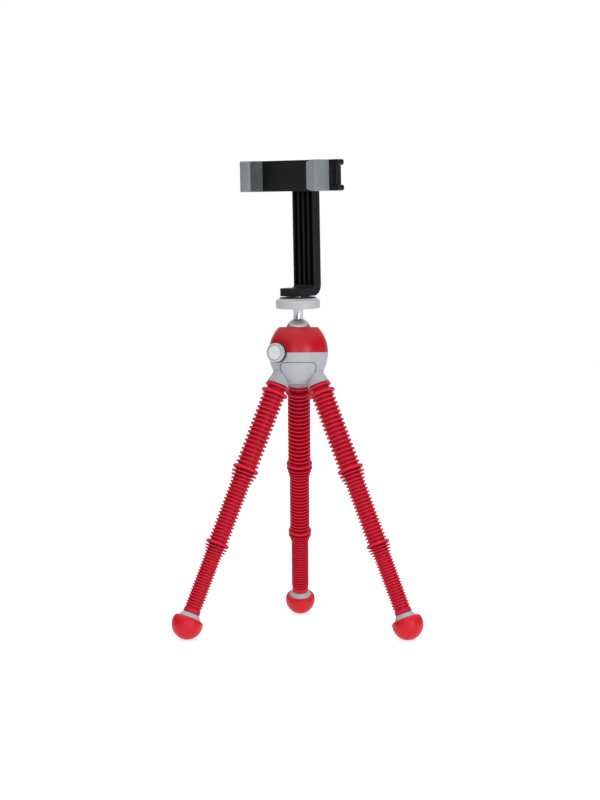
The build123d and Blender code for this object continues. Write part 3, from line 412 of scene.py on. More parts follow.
@dataclass(frozen=True)
class Moulded:
    """Finish of a moulded plastic or rubber piece; colours run from 0 to 255."""

    name: str
    colour: tuple[float, float, float]
    worn: tuple[float, float, float]
    roughness: float = 0.5
    roughness_shift: float = 0.12
    grain: Grain = Grain.FINE
    specular: float = 0.5
    # Colour of the painted shade where the crown attribute is low.
    valley: tuple[float, float, float] | None = None
    # How strongly the crowns pale, partly as rubbed wear and partly as a painted highlight.
    rub_and_highlight: float = 0.3

    def make(
        self, grain_group: bpy.types.NodeTree, crown_group: bpy.types.NodeTree | None = None
    ) -> bpy.types.Material:
        """Builds the material.

        Args:
            grain_group: the moulded grain group.
            crown_group: the crown group, which paints shade into valleys and pales crowns, for ribbed
                pieces.

        Returns:
            The material.
        """
        material = bpy.data.materials.new(self.name)
        material.use_nodes = True
        w = Wiring(material.node_tree)
        shader = material.node_tree.nodes["Principled BSDF"]
        shader.inputs["Specular IOR Level"].default_value = self.specular
        place = w.node("TexCoord")
        size, depth = self.grain.value
        grain = w.node("Group", node_tree=grain_group)
        w.join(place.outputs["Object"], grain.inputs["Position"])
        for socket, value in (
            ("Grain Scale", 1.0 / size),
            ("Grain Depth", depth),
            ("Colour", linear(self.colour)),
            ("Worn Colour", linear(self.worn)),
            ("Roughness", self.roughness),
            ("Roughness Shift", self.roughness_shift),
        ):
            grain.inputs[socket].default_value = value
        colour = grain.outputs["Colour"]
        # Ribbed pieces get painted shade towards the valley colour where the crown attribute is low, and
        # paler crowns, part rubbed wear and part painted highlight.
        if crown_group is not None and self.valley is not None:
            crown = w.node("Attribute", attribute_name="crown")
            rub_and_highlight = w.node("Group", node_tree=crown_group)
            w.join(crown.outputs["Fac"], rub_and_highlight.inputs["Crown"])
            w.join(colour, rub_and_highlight.inputs["Colour"])
            rub_and_highlight.inputs["Valley Shade Colour"].default_value = linear(self.valley)
            rubbed_highlight = tuple(min(255.0, value + RUB_AND_HIGHLIGHT_LIFT) for value in self.colour)
            rub_and_highlight.inputs["Rubbed Highlight Colour"].default_value = linear(rubbed_highlight)
            rub_and_highlight.inputs["Rub And Highlight"].default_value = self.rub_and_highlight
            colour = rub_and_highlight.outputs["Colour"]
        w.join(colour, shader.inputs["Base Color"])
        w.join(grain.outputs["Roughness"], shader.inputs["Roughness"])
        w.join(grain.outputs["Normal"], shader.inputs["Normal"])
        return material


@dataclass(frozen=True)
class Turned:
    """Finish of a bare or plated metal piece that was turned on a lathe."""

    name: str
    colour: tuple[float, float, float]
    roughness: float = 0.2
    roughness_shift: float = 0.1
    metallic: float = 1.0
    ring_size: float = 0.0004
    ring_depth: float = 0.000003

    def make(self, group: bpy.types.NodeTree, axes: Axes) -> bpy.types.Material:
        """Builds the material.

        Args:
            group: the turning marks group.
            axes: the piece's axes; the rings run about z.

        Returns:
            The material.
        """
        material = bpy.data.materials.new(self.name)
        material.use_nodes = True
        w = Wiring(material.node_tree)
        shader = material.node_tree.nodes["Principled BSDF"]
        shader.inputs["Base Color"].default_value = linear(self.colour)
        shader.inputs["Metallic"].default_value = self.metallic
        place = w.node("TexCoord")
        centre = w.node("Mapping", vector_type="TEXTURE")
        centre.inputs["Location"].default_value = axes.origin.tolist()
        turn = np.stack([axes.x, axes.y, axes.z], 1)
        centre.inputs["Rotation"].default_value = rotation_angles(turn)
        w.join(place.outputs["Object"], centre.inputs["Vector"])
        marks = w.node("Group", node_tree=group)
        w.join(centre.outputs["Vector"], marks.inputs["Position"])
        for socket, value in (
            ("Ring Scale", 1.0 / self.ring_size),
            ("Ring Depth", self.ring_depth),
            ("Roughness", self.roughness),
            ("Roughness Shift", self.roughness_shift),
        ):
            marks.inputs[socket].default_value = value
        w.join(marks.outputs["Roughness"], shader.inputs["Roughness"])
        w.join(marks.outputs["Normal"], shader.inputs["Normal"])
        return material


def rotation_angles(turn: np.ndarray) -> tuple[float, float, float]:
    """Angles about x, then y, then z, of a rotation matrix, in radians."""
    return (
        math.atan2(turn[2, 1], turn[2, 2]),
        math.asin(max(-1.0, min(1.0, -turn[2, 0]))),
        math.atan2(turn[1, 0], turn[0, 0]),
    )


@dataclass
class Finishes:
    """Every finish of the tripod, made once."""

    head_axes: Axes
    made: dict[str, bpy.types.Material] = field(default_factory=dict)

    def build(self) -> None:
        """Makes the node groups and the materials."""
        grain, crown, rings = moulded_grain(), crown_rub_highlight_valley_shade(), turning_marks()
        for finish in (
            # Sleeve valleys get painted shade; the crowns pale, part rubbed wear and part painted
            # highlight.
            Moulded(
                "sleeve_rubber", (188, 3, 36), (180, 1, 30), 0.42, 0.14, Grain.SATIN, 0.16,
                valley=(172, 0, 24), rub_and_highlight=0.5,
            ),
            # The pad's darker second colour is painted shade on its phone's side face.
            Moulded(
                "pad_rubber", (126, 131, 136), (116, 121, 126), 0.55, 0.1, Grain.SATIN, 0.35,
                valley=(80, 86, 84), rub_and_highlight=0.0,
            ),
        ):
            self.made[finish.name] = finish.make(grain, crown)
        for finish in (
            Moulded("foot_rubber", (202, 3, 34), (194, 1, 28), 0.4, 0.12, Grain.SATIN, 0.32),
            Moulded("red_shell", (182, 3, 26), (175, 2, 22), 0.34, 0.06, Grain.FINE, 0.34),
            Moulded("grey_shell", (172, 173, 179), (164, 165, 171), 0.46, 0.1, Grain.FINE, 0.45),
            Moulded("disk_paint", (178, 179, 182), (170, 171, 175), 0.4, 0.08, Grain.FINE, 0.5),
            Moulded("knob_face", (208, 213, 213), (194, 200, 200), 0.4, 0.1, Grain.SATIN, 0.45),
            Moulded("knob_rim", (180, 182, 186), (172, 174, 178), 0.38, 0.1, Grain.FINE, 0.45),
            Moulded("black_shell", (11, 11, 15), (17, 17, 21), 0.46, 0.14, Grain.COARSE, 0.22),
            Moulded("black_rubber", (34, 34, 37), (44, 45, 48), 0.6, 0.1, Grain.SATIN, 0.3),
            Moulded("dark_plastic", (52, 52, 55), (46, 46, 49), 0.5, 0.1, Grain.FINE, 0.5),
            Moulded("white_nylon", (224, 223, 218), (214, 213, 208), 0.45, 0.1, Grain.FINE, 0.5),
        ):
            self.made[finish.name] = finish.make(grain)
        for metal in (
            Turned("chrome", (200, 200, 203), 0.3, 0.1),
            Turned("steel", (150, 151, 155), 0.34, 0.14),
            Turned("brass", (196, 160, 92), 0.3, 0.12),
        ):
            self.made[metal.name] = metal.make(rings, self.head_axes)

    def dress(self, piece: bpy.types.Object, finish: str) -> None:
        """Gives a piece its finish as its only material."""
        piece.data.materials.clear()
        piece.data.materials.append(self.made[finish])


# ---------------------------------------------------------------- the frame's measures


@dataclass
class Skeleton:
    """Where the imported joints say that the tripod's axes and balls are."""

    joints: dict[str, dict]

    def point(self, joint: str) -> np.ndarray:
        """Place of a hinge, in metres."""
        return np.array(self.joints[joint]["pos_m"], float)

    def axis(self, joint: str) -> np.ndarray:
        """Axis of a joint."""
        return np.array(self.joints[joint]["axis"], float)

    def leg_axes(self, leg: Leg) -> Axes:
        """Axes of a leg, from its first ball down: z along the leg, x sideways."""
        first, last = (self.point(f"leg_ball_{n}_{leg.value}") for n in (1, 6))
        return Axes.along(first, last - first, self.axis(f"leg_ball_1_{leg.value}"))

    def head_axes(self) -> Axes:
        """Axes of the ball head: z up its stud, x along the clamp."""
        return Axes.along(self.point("ball_tilt"), self.axis("arm_turn"), self.axis("clamp_slide"))

    def clamp_axes(self) -> Axes:
        """Axes of the clamp about its pivot: x along its slide, z towards the phone."""
        return Axes.along(self.point("clamp_turn"), self.axis("clamp_turn"), self.axis("clamp_slide"))


# ---------------------------------------------------------------- hard pieces


@dataclass(frozen=True)
class HardPiece:
    """A solid of the frame that shows: merged, its edges rounded, and given a finish."""

    node: str
    body: str
    finish: str
    slot: str
    edge: float = 0.00015
    steps: int = 2
    sharp_above: float = 30.0

    def build(self, source: bpy.types.Object, finishes: Finishes) -> bpy.types.Object:
        """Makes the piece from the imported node's mesh.

        Args:
            source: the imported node's object.
            finishes: the finishes.

        Returns:
            The new piece, riding on its body.
        """
        mesh = source.data.copy()
        mesh.name = f"{self.node}_shell"
        shape = bmesh.new()
        shape.from_mesh(mesh)
        bmesh.ops.remove_doubles(shape, verts=shape.verts[:], dist=JOIN_DISTANCE)
        bmesh.ops.dissolve_degenerate(shape, edges=shape.edges[:], dist=JOIN_DISTANCE)
        bmesh.ops.dissolve_limit(
            shape, angle_limit=FLAT_ANGLE, verts=shape.verts[:], edges=shape.edges[:]
        )
        bmesh.ops.recalc_face_normals(shape, faces=shape.faces[:])
        shape.to_mesh(mesh)
        shape.free()
        mesh.shade_smooth()
        mesh.set_sharp_from_angle(angle=math.radians(self.sharp_above))
        piece = bpy.data.objects.new(f"{self.node}_shell", mesh)
        bpy.context.scene.collection.objects.link(piece)
        bevel = piece.modifiers.new("rounded_edges", "BEVEL")
        bevel.width = self.edge
        bevel.segments = self.steps
        bevel.limit_method = "ANGLE"
        bevel.angle_limit = math.radians(self.sharp_above)
        bevel.harden_normals = True
        bevel.use_clamp_overlap = True
        finishes.dress(piece, self.finish)
        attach(piece, self.body)
        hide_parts(self.node)
        log.info("%s: hard piece on %s", piece.name, self.body)
        return piece


# ---------------------------------------------------------------- legs


@dataclass
class RibbedRun:
    """One red rubber sleeve: ribs between its ends, and its big rounded rings.

    Distances run down the leg from its first ball, in metres.
    """

    start: float
    end: float
    bore: float
    valley: float
    rib: float
    first_rib: float
    pitch: float
    ribs: int
    rib_width: float
    rings: tuple[tuple[float, float, float], ...]  # middle, radius and width of each
    skirt: tuple[float, float, float] | None = None  # start, upper and lower radius
    flare_from: float = 0.0
    flare_shares: tuple[float, ...] = (0.95, 0.6, 0.25)
    skirt_round: float = 0.35 * MM
    skirt_crown: float = 0.85
    shape_power: float = 5.0
    samples_per_rib: int = 14

    def rib_places(self) -> tuple[np.ndarray, np.ndarray]:
        """Distances and radii of all the thin ribs."""
        places = self.first_rib + self.pitch * np.arange(self.ribs)
        radii = np.full(self.ribs, self.rib)
        if self.flare_from > self.rib:
            count = len(self.flare_shares)
            radii[:count] += (self.flare_from - self.rib) * np.array(self.flare_shares)
        return places, radii

    def radius(self, distance: np.ndarray) -> tuple[np.ndarray, np.ndarray]:
        """Radius down the sleeve.

        Each rib adds (1 - |x|^p), where x is the distance from its middle over half its width, so
        that it stands up steeply and has a rounded crown. Each ring adds the half ellipse
        sqrt(1 - x^2). The skirt at the lower end runs straight between its two radii, with its
        edges rounded.

        Args:
            distance: distances down the leg.

        Returns:
            The radii, and the crown value from 0 in a valley to 1 on a crown.
        """
        out = np.full(distance.shape, self.valley)
        crown = np.zeros(distance.shape)
        places, radii = self.rib_places()
        for place, radius in zip(places, radii):
            x = np.abs(distance - place) / (self.rib_width / 2)
            bump = np.where(x < 1, 1 - np.minimum(x, 1) ** self.shape_power, 0.0)
            out = np.maximum(out, self.valley + (radius - self.valley) * bump)
            crown = np.maximum(crown, bump)
        for place, radius, width in self.rings:
            x = np.abs(distance - place) / (width / 2)
            bump = np.sqrt(np.clip(1 - x**2, 0, 1))
            out = np.maximum(out, self.valley + (radius - self.valley) * bump)
            crown = np.maximum(crown, bump)
        if self.skirt is not None:
            start, upper, lower = self.skirt
            share = np.clip((distance - start) / (self.end - start), 0, 1)
            from_end = np.minimum(distance - start, self.end - distance)
            ends = np.clip(from_end / self.skirt_round, 0, 1)
            inside = (distance >= start) & (distance <= self.end)
            bump = np.where(inside, np.sqrt(1 - (1 - ends) ** 2), 0.0)
            straight = upper + (lower - upper) * share
            out = np.maximum(out, self.valley + (straight - self.valley) * bump)
            crown = np.maximum(crown, self.skirt_crown * bump)
        return out, crown

    def stations(self, start: float, end: float) -> np.ndarray:
        """Distances of the rings of points between two cuts, closer together on the ribs."""
        places, _ = self.rib_places()
        share = np.cos(np.linspace(math.pi, 0, self.samples_per_rib))
        half = self.rib_width / 2
        on_ribs = (places[:, None] + half * share[None, :]).ravel()
        ring_share = np.cos(np.linspace(math.pi, 0, 2 * self.samples_per_rib))
        on_rings = [place + width / 2 * ring_share for place, _, width in self.rings]
        if self.skirt is not None:
            share = np.linspace(0, 1, 8) ** 2 * 0.4 * MM
            on_rings += [self.skirt[0] + share, self.end - share]
        found = np.unique(np.round(np.concatenate([on_ribs, *on_rings, [start, end]]), 7))
        return found[(found >= start - 1e-9) & (found <= end + 1e-9)]

    def make(
        self, name: str, axes: Axes, start: float, end: float, segments: int = 72
    ) -> bpy.types.Object:
        """Makes the sleeve between two cuts as a closed tube with its bore.

        Args:
            name: name of the piece.
            axes: the leg's axes.
            start: distance of the upper cut.
            end: distance of the lower cut.
            segments: steps round the leg.

        Returns:
            The new piece.
        """
        distance = self.stations(start, end)
        radius, crown = self.radius(distance)
        outer = np.stack([radius, distance], 1)
        inner = np.array([[self.bore, end], [self.bore, start]])
        crown = np.concatenate([crown, [0.0, 0.0]])
        return turned(name, np.concatenate([outer, inner]), axes, True, segments, 50.0, crown)


@dataclass
class LegDress:
    """The soft pieces of one leg, cut between its balls."""

    leg: Leg
    axes: Axes
    zero: float = 9.2 * MM  # first ball to the leg's first thin rib
    bend_reach: float = 8.6 * MM
    foot_radius: float = 8.5 * MM
    foot_middle: float = 131.9 * MM
    foot_top: float = 128.42 * MM
    plug_radius: float = 3.65 * MM
    plug_end: float = 134.05 * MM
    rim_round: float = 1.2 * MM
    rim_corner_in: float = 0.1 * MM
    rim_flat_in: float = 1.4 * MM

    def runs(self) -> tuple[RibbedRun, RibbedRun, RibbedRun]:
        """The upper, middle and lower sleeves."""
        z = self.zero
        upper = RibbedRun(
            start=z - 7.5 * MM, end=z + 43.85 * MM, bore=4.0 * MM, valley=5.0 * MM, rib=6.4 * MM,
            first_rib=z, pitch=2.46 * MM, ribs=17, rib_width=1.3 * MM,
            rings=(
                (z - 6.4 * MM, 6.5 * MM, 2.15 * MM),
                (z - 2.6 * MM, 7.5 * MM, 2.7 * MM),
                (z + 42.3 * MM, 7.35 * MM, 2.7 * MM),
            ),
        )
        middle = RibbedRun(
            start=z + 44.05 * MM, end=z + 87.2 * MM, bore=3.6 * MM, valley=4.5 * MM, rib=5.62 * MM,
            first_rib=z + 44.95 * MM, pitch=2.015 * MM, ribs=20, rib_width=1.12 * MM,
            rings=((z + 85.8 * MM, 6.6 * MM, 2.5 * MM),), flare_from=7.35 * MM,
        )
        lower = RibbedRun(
            start=z + 87.4 * MM, end=z + 125.8 * MM, bore=3.2 * MM, valley=4.1 * MM, rib=4.92 * MM,
            first_rib=z + 88.1 * MM, pitch=1.6 * MM, ribs=22, rib_width=0.92 * MM,
            rings=(), skirt=(z + 122.95 * MM, 4.5 * MM, 4.75 * MM), flare_from=6.6 * MM,
        )
        return upper, middle, lower

    def cuts(self, run: RibbedRun, after_rib: int) -> float:
        """Distance of the valley that follows a rib, where a sleeve is cut."""
        return run.first_rib + run.pitch * (after_rib + 0.5)

    def ball(self, number: int, skeleton: Skeleton) -> np.ndarray:
        """Place of a leg ball, from 1."""
        return skeleton.point(f"leg_ball_{number}_{self.leg.value}")

    def build(self, skeleton: Skeleton, finishes: Finishes) -> None:
        """Makes the sleeves' six pieces and the rubber foot.

        Args:
            skeleton: the frame's measures.
            finishes: the finishes.
        """
        upper, middle, lower = self.runs()
        first, second = self.cuts(upper, 0), self.cuts(upper, 8)
        third = self.cuts(middle, 9)
        spans = (
            (upper, upper.start, first, "sleeve_upper"),
            (upper, first, second, "sleeve_upper"),
            (upper, second, upper.end, "sleeve_upper"),
            (middle, middle.start, third, "sleeve_middle"),
            (middle, third, middle.end, "sleeve_middle"),
            (lower, lower.start, lower.end, "sleeve_lower"),
        )
        for number, (run, start, end, node) in enumerate(spans, 1):
            piece = run.make(f"sleeve_part_{number}_{self.leg.value}", self.axes, start, end)
            finishes.dress(piece, "sleeve_rubber")
            ball = (self.ball(number, skeleton) - self.axes.origin) @ self.axes.z
            low, high = max(start, ball - self.bend_reach), min(end, ball + self.bend_reach)
            places = [self.axes.place(np.array([0.0, 0.0, d])) for d in (low, high)]
            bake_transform(piece)
            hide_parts(f"{node}_{self.leg.value}")
            log.info("%s: bends at ball %d", piece.name, number)
        self.build_foot(finishes)

    def build_foot(self, finishes: Finishes) -> None:
        """Makes the rubber foot: a ball with a soft upper rim, hollow for the plug, flat below.

        Args:
            finishes: the finishes.
        """
        middle = self.zero + self.foot_middle
        top = self.zero + self.foot_top
        rim = math.sqrt(self.foot_radius**2 - (middle - top) ** 2)
        start = math.asin((top + self.rim_round - middle) / self.foot_radius)
        angle = np.linspace(math.pi / 2, start, 48)
        ball = self.foot_radius * np.stack([np.cos(angle), np.sin(angle)], 1) + [0.0, middle]
        ball[0, 0] = 0.0
        turn = np.linspace(0.0, 1.0, 10)[1:, None]
        corner = np.array([[rim - self.rim_corner_in, top]])
        inside = np.array([[rim - self.rim_flat_in, top]])
        edge = (1 - turn) ** 2 * ball[-1] + 2 * turn * (1 - turn) * corner + turn**2 * inside
        floor = self.zero + self.plug_end
        plug = np.array([[self.plug_radius, top], [self.plug_radius, floor], [0.0, floor]])
        profile = np.concatenate([ball, edge, plug])
        piece = turned(f"rubber_foot_{self.leg.value}", profile, self.axes, False, 96, 40.0)
        flatten_below(piece, 0.0)
        finishes.dress(piece, "foot_rubber")
        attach(piece, f"foot_{self.leg.value}")
        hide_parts(f"foot_pad_{self.leg.value}")
        log.info("%s: rubber foot", piece.name)


def flatten_below(piece: bpy.types.Object, floor: float) -> None:
    """Lifts every point of a piece that lies under the floor up to it."""
    mesh = piece.data
    points = np.empty(len(mesh.vertices) * 3)
    mesh.vertices.foreach_get("co", points)
    points = points.reshape(-1, 3)
    points[:, 2] = np.maximum(points[:, 2], floor)
    mesh.vertices.foreach_set("co", points.ravel())
    mesh.update()


# ---------------------------------------------------------------- head and clamp


@dataclass
class DiskPad:
    """Rubber pad on the lock disk: a flat ring with a rounded rim and two moulded grooves."""

    axes: Axes
    inner: float = 3.2 * MM
    outer: float = 10.15 * MM
    bottom: float = 17.47 * MM
    top: float = 18.5 * MM
    groove_places: tuple[float, ...] = (5.6 * MM, 7.9 * MM)
    groove_depth: float = 0.25 * MM
    groove_width: float = 0.7 * MM
    rim_round: float = 0.5 * MM
    bore_break: float = 0.15 * MM

    def build(self, finishes: Finishes) -> None:
        """Makes the pad.

        Args:
            finishes: the finishes.
        """
        rim_start, rim_middle = self.outer - self.rim_round, self.top - self.rim_round
        radius = np.linspace(self.inner + self.bore_break, rim_start, 90)
        height = np.full(radius.shape, self.top)
        for place in self.groove_places:
            x = np.clip(np.abs(radius - place) / (self.groove_width / 2), 0, 1)
            height -= self.groove_depth * np.cos(x * math.pi / 2) ** 2
        turn = np.linspace(0, math.pi / 2, 8)[1:]
        rim = np.stack(
            [rim_start + self.rim_round * np.sin(turn), rim_middle + self.rim_round * np.cos(turn)], 1
        )
        upper = np.stack([radius, height], 1)
        foot = np.array(
            [
                [self.outer, self.bottom],
                [self.inner, self.bottom],
                [self.inner, self.top - self.bore_break],
            ]
        )
        piece = turned("disk_rubber", np.concatenate([upper, rim, foot]), self.axes, True, 120, 40.0)
        finishes.dress(piece, "black_rubber")
        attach(piece, "disk")
        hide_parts("disk_pad")
        log.info("%s: rubber pad", piece.name)


@dataclass
class JawPad:
    """Rubber cap over a clamp jaw, hollow on the phone's side, with chamfered lip corners."""

    name: str
    node: str
    body: str
    outer: float
    inner: float
    front: float = 13.7 * MM
    back: float = 2.02 * MM
    half_height: float = 8.45 * MM
    hollow: float = 0.9 * MM
    corner: float = 1.5 * MM
    chamfer: float = 1.5 * MM
    chamfer_reach: float = 3.4 * MM
    edge_round: float = 0.45 * MM
    face_steps: int = 24

    def side(self) -> float:
        """1 where the phone's side looks along x, and -1 where it looks the other way."""
        return 1.0 if self.inner > self.outer else -1.0

    def section(self) -> np.ndarray:
        """Closed outline of the pad from above: along the clamp, and out towards the phone.

        The phone's side is hollowed by the parabola hollow * 4t(1 - t) from the lip to the back.
        """
        side = self.side()
        t = np.linspace(0.0, 1.0, self.face_steps)
        depth = self.back + (self.front - self.corner - self.back) * t
        face = np.stack([self.inner - side * self.hollow * 4 * t * (1 - t), depth], 1)
        corners = np.array([[self.inner, self.front], [self.outer, self.front]])
        lip = []
        for corner, way_in, way_out in (
            (corners[0], np.array([0.0, -1.0]), np.array([-side, 0.0])),
            (corners[1], np.array([side, 0.0]), np.array([0.0, -1.0])),
        ):
            s = np.linspace(0.0, 1.0, 9)[:, None]
            a, b = corner + way_in * self.corner, corner + way_out * self.corner
            lip.append((1 - s) ** 2 * a + 2 * s * (1 - s) * corner + s**2 * b)
        foot = np.array([[self.outer, self.back]])
        return np.concatenate([face, lip[0][1:], lip[1], foot])

    def build(self, axes: Axes, finishes: Finishes) -> None:
        """Makes the pad as rings of its outline, drawn in at the top and bottom edges.

        Args:
            axes: the clamp's axes.
            finishes: the finishes.
        """
        outline = self.section()
        middle = np.array([(self.outer + self.inner) / 2, (self.front + self.back) / 2])
        from_lip = self.front - self.chamfer_reach
        near_lip = np.clip((outline[:, 1] - from_lip) / self.chamfer_reach, 0, 1)
        reach = abs(self.inner - middle[0])
        near_inner = np.clip((outline[:, 0] - middle[0]) * self.side() / reach, 0, 1)
        drop = self.chamfer * near_lip * near_inner
        turn = np.linspace(0.0, math.pi / 2, 7)
        way = outline - middle
        way = way / np.maximum(np.abs(way).max(axis=1, keepdims=True), 1e-9)
        rings = []
        for sign, order in ((-1.0, turn[::-1]), (1.0, turn)):
            for angle in order:
                ring = outline - way * (self.edge_round * (1 - math.cos(angle)))
                rounding = self.edge_round * (1 - math.sin(angle))
                height = sign * (self.half_height - drop - rounding)
                rings.append(np.stack([ring[:, 0], height, ring[:, 1]], 1))
        local = np.stack(rings)
        count, around = local.shape[:2]
        points = axes.place(local).reshape(-1, 3)
        faces = grid_faces(count, around, False, True).tolist()
        faces += [list(range(around))[::-1], list(range((count - 1) * around, count * around))]
        # The phone's side face gets 0 and with it the pad's darker colour, a painted shade; the other
        # faces get 1.
        unshaded_share = np.ones(around)
        unshaded_share[: self.face_steps] = 0.0
        piece = make_piece(self.name, points, faces, 40.0, np.tile(unshaded_share, count))
        finishes.dress(piece, "pad_rubber")
        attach(piece, self.body)
        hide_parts(self.node)
        log.info("%s: rubber jaw pad", piece.name)


@dataclass
class ClampSprings:
    """The two coil springs that pull the slider home, inside the clamp."""

    start: float = -27.3 * MM
    end: float = 17.6 * MM
    places: tuple[float, ...] = (-3.75 * MM, 3.75 * MM)
    depth: float = -1.15 * MM
    coil_radius: float = 0.6 * MM
    wire_radius: float = 0.14 * MM
    turns: int = 44

    def build(self, axes: Axes, finishes: Finishes) -> None:
        """Makes each spring: a round wire carried along the helix (t, r cos 2pi n t, r sin 2pi n t).

        Args:
            axes: the clamp's axes.
            finishes: the finishes.
        """
        steps, around = self.turns * 14, 8
        t = np.linspace(0.0, 1.0, steps)
        turn = FULL_TURN * self.turns * t
        ring = np.linspace(0.0, FULL_TURN, around, endpoint=False)
        along = self.start + (self.end - self.start) * t
        out = np.stack([np.zeros(steps), np.cos(turn), np.sin(turn)], 1)
        across = np.broadcast_to(np.array([1.0, 0.0, 0.0]), (steps, 3))
        centre = np.stack([along, self.coil_radius * np.cos(turn), self.coil_radius * np.sin(turn)], 1)
        ring_cos, ring_sin = np.cos(ring)[None, :, None], np.sin(ring)[None, :, None]
        wire = self.wire_radius * (ring_cos * out[:, None, :] + ring_sin * across[:, None, :])
        one = centre[:, None, :] + wire
        points, faces = [], []
        for number, place in enumerate(self.places):
            points.append(axes.place(one + np.array([0.0, place, self.depth])).reshape(-1, 3))
            shift = number * steps * around
            faces += (grid_faces(steps, around, False, True) + shift).tolist()
            last = shift + (steps - 1) * around
            faces += [list(range(shift, shift + around))[::-1], list(range(last, last + around))]
        piece = make_piece("clamp_spring_coils", np.concatenate(points), faces, 60.0)
        finishes.dress(piece, "steel")
        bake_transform(piece)
        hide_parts("clamp_springs")
        log.info("%s: coil springs", piece.name)


# ---------------------------------------------------------------- the studio


@dataclass
class Studio:
    """Pale floor and backdrop, soft lights, and the camera at the photograph's angle."""

    camera_place: tuple[float, float, float] = (0.019, -1.172, 0.1698)
    pitch_down: float = 2.09
    turn_left: float = 0.90
    lens: float = 94.2
    floor_size: float = 12.0
    floor_grey: float = 0.6
    floor_glow: float = 0.62
    lamps: tuple[tuple[str, tuple[float, float, float], float, float], ...] = (
        ("key_light", (0.75, -1.1, 0.3), 0.4, 4.0),
        ("fill_light", (-0.3, -1.4, 0.35), 0.3, 0.9),
        ("top_light", (-0.1, 0.0, 1.3), 0.9, 3.0),
    )  # name, place, side in metres and watts
    aimed_at: tuple[float, float, float] = (0.0, 0.0, 0.13)
    left_flag: tuple[float, float, float, float] = (0.03, 0.03, 0.035, 1.0)
    right_flag: tuple[float, float, float, float] = (0.12, 0.12, 0.125, 1.0)

    def build(self) -> None:
        """Makes the floor, the lights, the world and the camera."""
        self.build_floor()
        self.build_lights()
        self.build_camera()

    def build_floor(self) -> None:
        """Makes the pale floor."""
        half = self.floor_size / 2
        corners = ((-half, -half, 0.0), (half, -half, 0.0), (half, half, 0.0), (-half, half, 0.0))
        floor = make_piece("studio_floor", np.array(corners), [[0, 1, 2, 3]])
        material = bpy.data.materials.new("floor_white")
        material.use_nodes = True
        shader = material.node_tree.nodes["Principled BSDF"]
        shader.inputs["Base Color"].default_value = (*[self.floor_grey] * 3, 1.0)
        shader.inputs["Roughness"].default_value = 0.5
        shader.inputs["Specular IOR Level"].default_value = 0.2
        shader.inputs["Emission Color"].default_value = (1.0, 1.0, 1.0, 1.0)
        shader.inputs["Emission Strength"].default_value = self.floor_glow
        floor.data.materials.append(material)

    def build_lights(self) -> None:
        """Makes three soft lights and a white world, with a dark flag at each side of the tripod.

        The backdrop itself stays white; the flags only darken what the tripod mirrors and the
        light that its sides get.
        """
        world = bpy.data.worlds.new("studio_white")
        world.use_nodes = True
        w = Wiring(world.node_tree)
        parts = w.node("SeparateXYZ")
        w.join(w.node("TexCoord").outputs["Generated"], parts.inputs[0])
        flank = w.node("MapRange", {"From Min": 0.2, "From Max": 0.75}, interpolation_type="SMOOTHSTEP")
        w.join(w.maths("ABSOLUTE", parts.outputs["X"], 0.0), flank.inputs["Value"])
        low = w.node("MapRange", {"From Min": 0.75, "From Max": 0.3}, interpolation_type="SMOOTHSTEP")
        w.join(parts.outputs["Z"], low.inputs["Value"])
        right = w.node("MapRange", {"From Min": -0.3, "From Max": 0.3})
        w.join(parts.outputs["X"], right.inputs["Value"])
        flag = w.mix(right.outputs["Result"], self.left_flag, self.right_flag)
        shade = w.maths("MULTIPLY", flank.outputs["Result"], low.outputs["Result"], clamp=True)
        studio, seen = world.node_tree.nodes["Background"], w.node("Background")
        w.join(w.mix(shade, (1.0, 1.0, 1.0, 1.0), flag), studio.inputs["Color"])
        seen.inputs["Color"].default_value = (1.0, 1.0, 1.0, 1.0)
        choice = w.node("MixShader")
        w.join(w.node("LightPath").outputs["Is Camera Ray"], choice.inputs[0])
        w.join(studio.outputs[0], choice.inputs[1])
        w.join(seen.outputs[0], choice.inputs[2])
        w.join(choice.outputs[0], world.node_tree.nodes["World Output"].inputs["Surface"])
        bpy.context.scene.world = world
        bpy.context.scene.view_settings.view_transform = "Standard"
        for name, place, size, power in self.lamps:
            light = bpy.data.lights.new(name, "AREA")
            light.size, light.energy = size, power
            lamp = bpy.data.objects.new(name, light)
            bpy.context.scene.collection.objects.link(lamp)
            lamp.location = place
            aim = np.array(self.aimed_at) - np.array(place)
            flat = math.hypot(aim[0], aim[1])
            lamp.rotation_euler = (math.atan2(flat, -aim[2]), 0.0, math.atan2(-aim[0], aim[1]))

    def build_camera(self) -> None:
        """Makes the camera."""
        data = bpy.data.cameras.new("camera")
        data.lens = self.lens
        data.sensor_width = 36.0
        data.clip_start, data.clip_end = 0.05, 50.0
        camera = bpy.data.objects.new("camera", data)
        bpy.context.scene.collection.objects.link(camera)
        camera.location = self.camera_place
        camera.rotation_euler = (math.radians(90.0 - self.pitch_down), 0.0, math.radians(self.turn_left))
        bpy.context.scene.camera = camera


# ---------------------------------------------------------------- the whole tripod


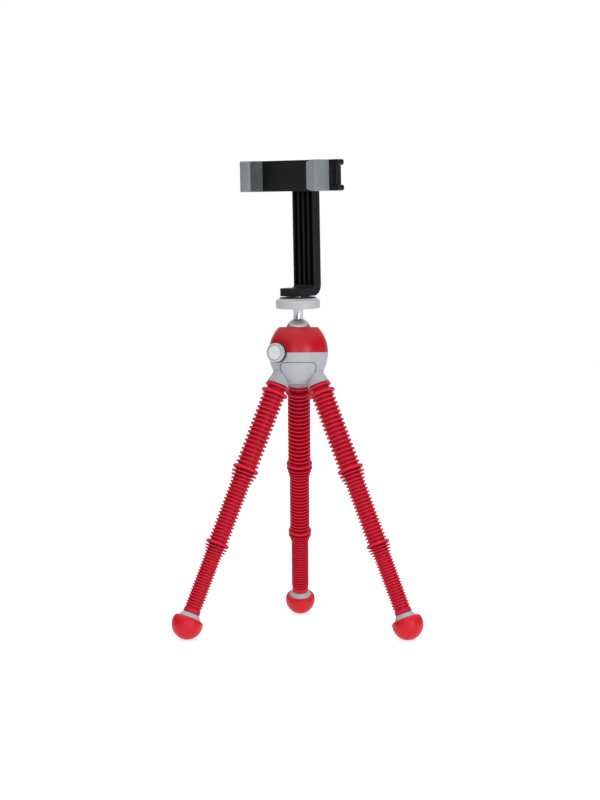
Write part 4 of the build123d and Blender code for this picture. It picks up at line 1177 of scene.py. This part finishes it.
HUB_PIECES = (
    HardPiece("hub_body", "base", "grey_shell", "grey_plastic", 0.00018),
    HardPiece("hub_panels", "base", "grey_shell", "grey_plastic", 0.00025, 3),
    HardPiece("dome_shell", "base", "red_shell", "red_plastic", 0.0002, 3),
    HardPiece("knob_washer", "base", "black_rubber", "black_rubber", 0.0001),
    HardPiece("lock_knob", "knob", "knob_rim", "grey_plastic", 0.00008),
    HardPiece("knob_cap", "knob", "knob_face", "white_plastic", 0.0002, 3),
)
HEAD_PIECES = (
    HardPiece("ball_stud", "ball", "chrome", "chrome", 0.0002),
    HardPiece("lock_disk", "disk", "disk_paint", "silver_paint", 0.0002, 3),
    HardPiece("phone_arm", "arm", "black_shell", "black_plastic", 0.0003, 3),
    HardPiece("pivot_nut", "arm", "steel", "steel", 0.0002),
    HardPiece("pivot_screw", "arm", "black_shell", "steel", 0.0001),
    HardPiece("clamp_body", "clamp", "black_shell", "black_plastic", 0.0003, 3),
    HardPiece("clamp_cover", "clamp", "black_shell", "black_plastic", 0.0003, 3),
    HardPiece("slider", "clamp_slide", "black_shell", "black_plastic", 0.0003, 3),
)
HIDDEN_FINISHES = {
    "hub_screws": "steel",
    "collar_screws": "steel",
    "lower_cup": "white_nylon",
    "ball_liner": "white_nylon",
    "knob_clip": "steel",
    "lock_plunger": "steel",
    "arm_insert": "brass",
    "pivot_washer": "steel",
    "clamp_screws": "steel",
}


def build_leg(
    leg: Leg, nodes: dict[str, bpy.types.Object], skeleton: Skeleton, finishes: Finishes
) -> None:
    """Dresses one leg: its collar, links, sleeves, grey cup and foot.

    Args:
        leg: which leg.
        nodes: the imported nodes.
        skeleton: the frame's measures.
        finishes: the finishes.
    """
    LegDress(leg, skeleton.leg_axes(leg)).build(skeleton, finishes)
    for name, body in (("collar", "base"), ("foot_stem", f"foot_{leg.value}")):
        piece = HardPiece(f"{name}_{leg.value}", body, "grey_shell", "grey_plastic", 0.0002, 3)
        piece.build(nodes[piece.node], finishes)
    for number in range(1, 6):
        finishes.dress(nodes[f"link_{number}_{leg.value}"], "dark_plastic")


def main() -> None:
    """Builds the dressed tripod and its studio."""
    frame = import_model()
    skeleton = Skeleton({joint["name"]: joint for joint in frame["joints"]})
    finishes = Finishes(skeleton.head_axes())
    finishes.build()
    for leg in Leg:
        build_leg(leg, frame["nodes"], skeleton, finishes)
    for piece in (*HUB_PIECES, *HEAD_PIECES):
        piece.build(frame["nodes"][piece.node], finishes)
    for node, finish in HIDDEN_FINISHES.items():
        finishes.dress(frame["nodes"][node], finish)
    DiskPad(skeleton.head_axes()).build(finishes)
    clamp_axes = skeleton.clamp_axes()
    for pad in (
        JawPad("fixed_jaw_rubber", "fixed_jaw_pad", "clamp", -29.0 * MM, -21.9 * MM),
        JawPad("sliding_jaw_rubber", "sliding_jaw_pad", "clamp_slide", 24.9 * MM, 17.8 * MM),
    ):
        pad.build(clamp_axes, finishes)
    ClampSprings().build(clamp_axes, finishes)
    Studio().build()


if __name__ == "__main__":
    main()
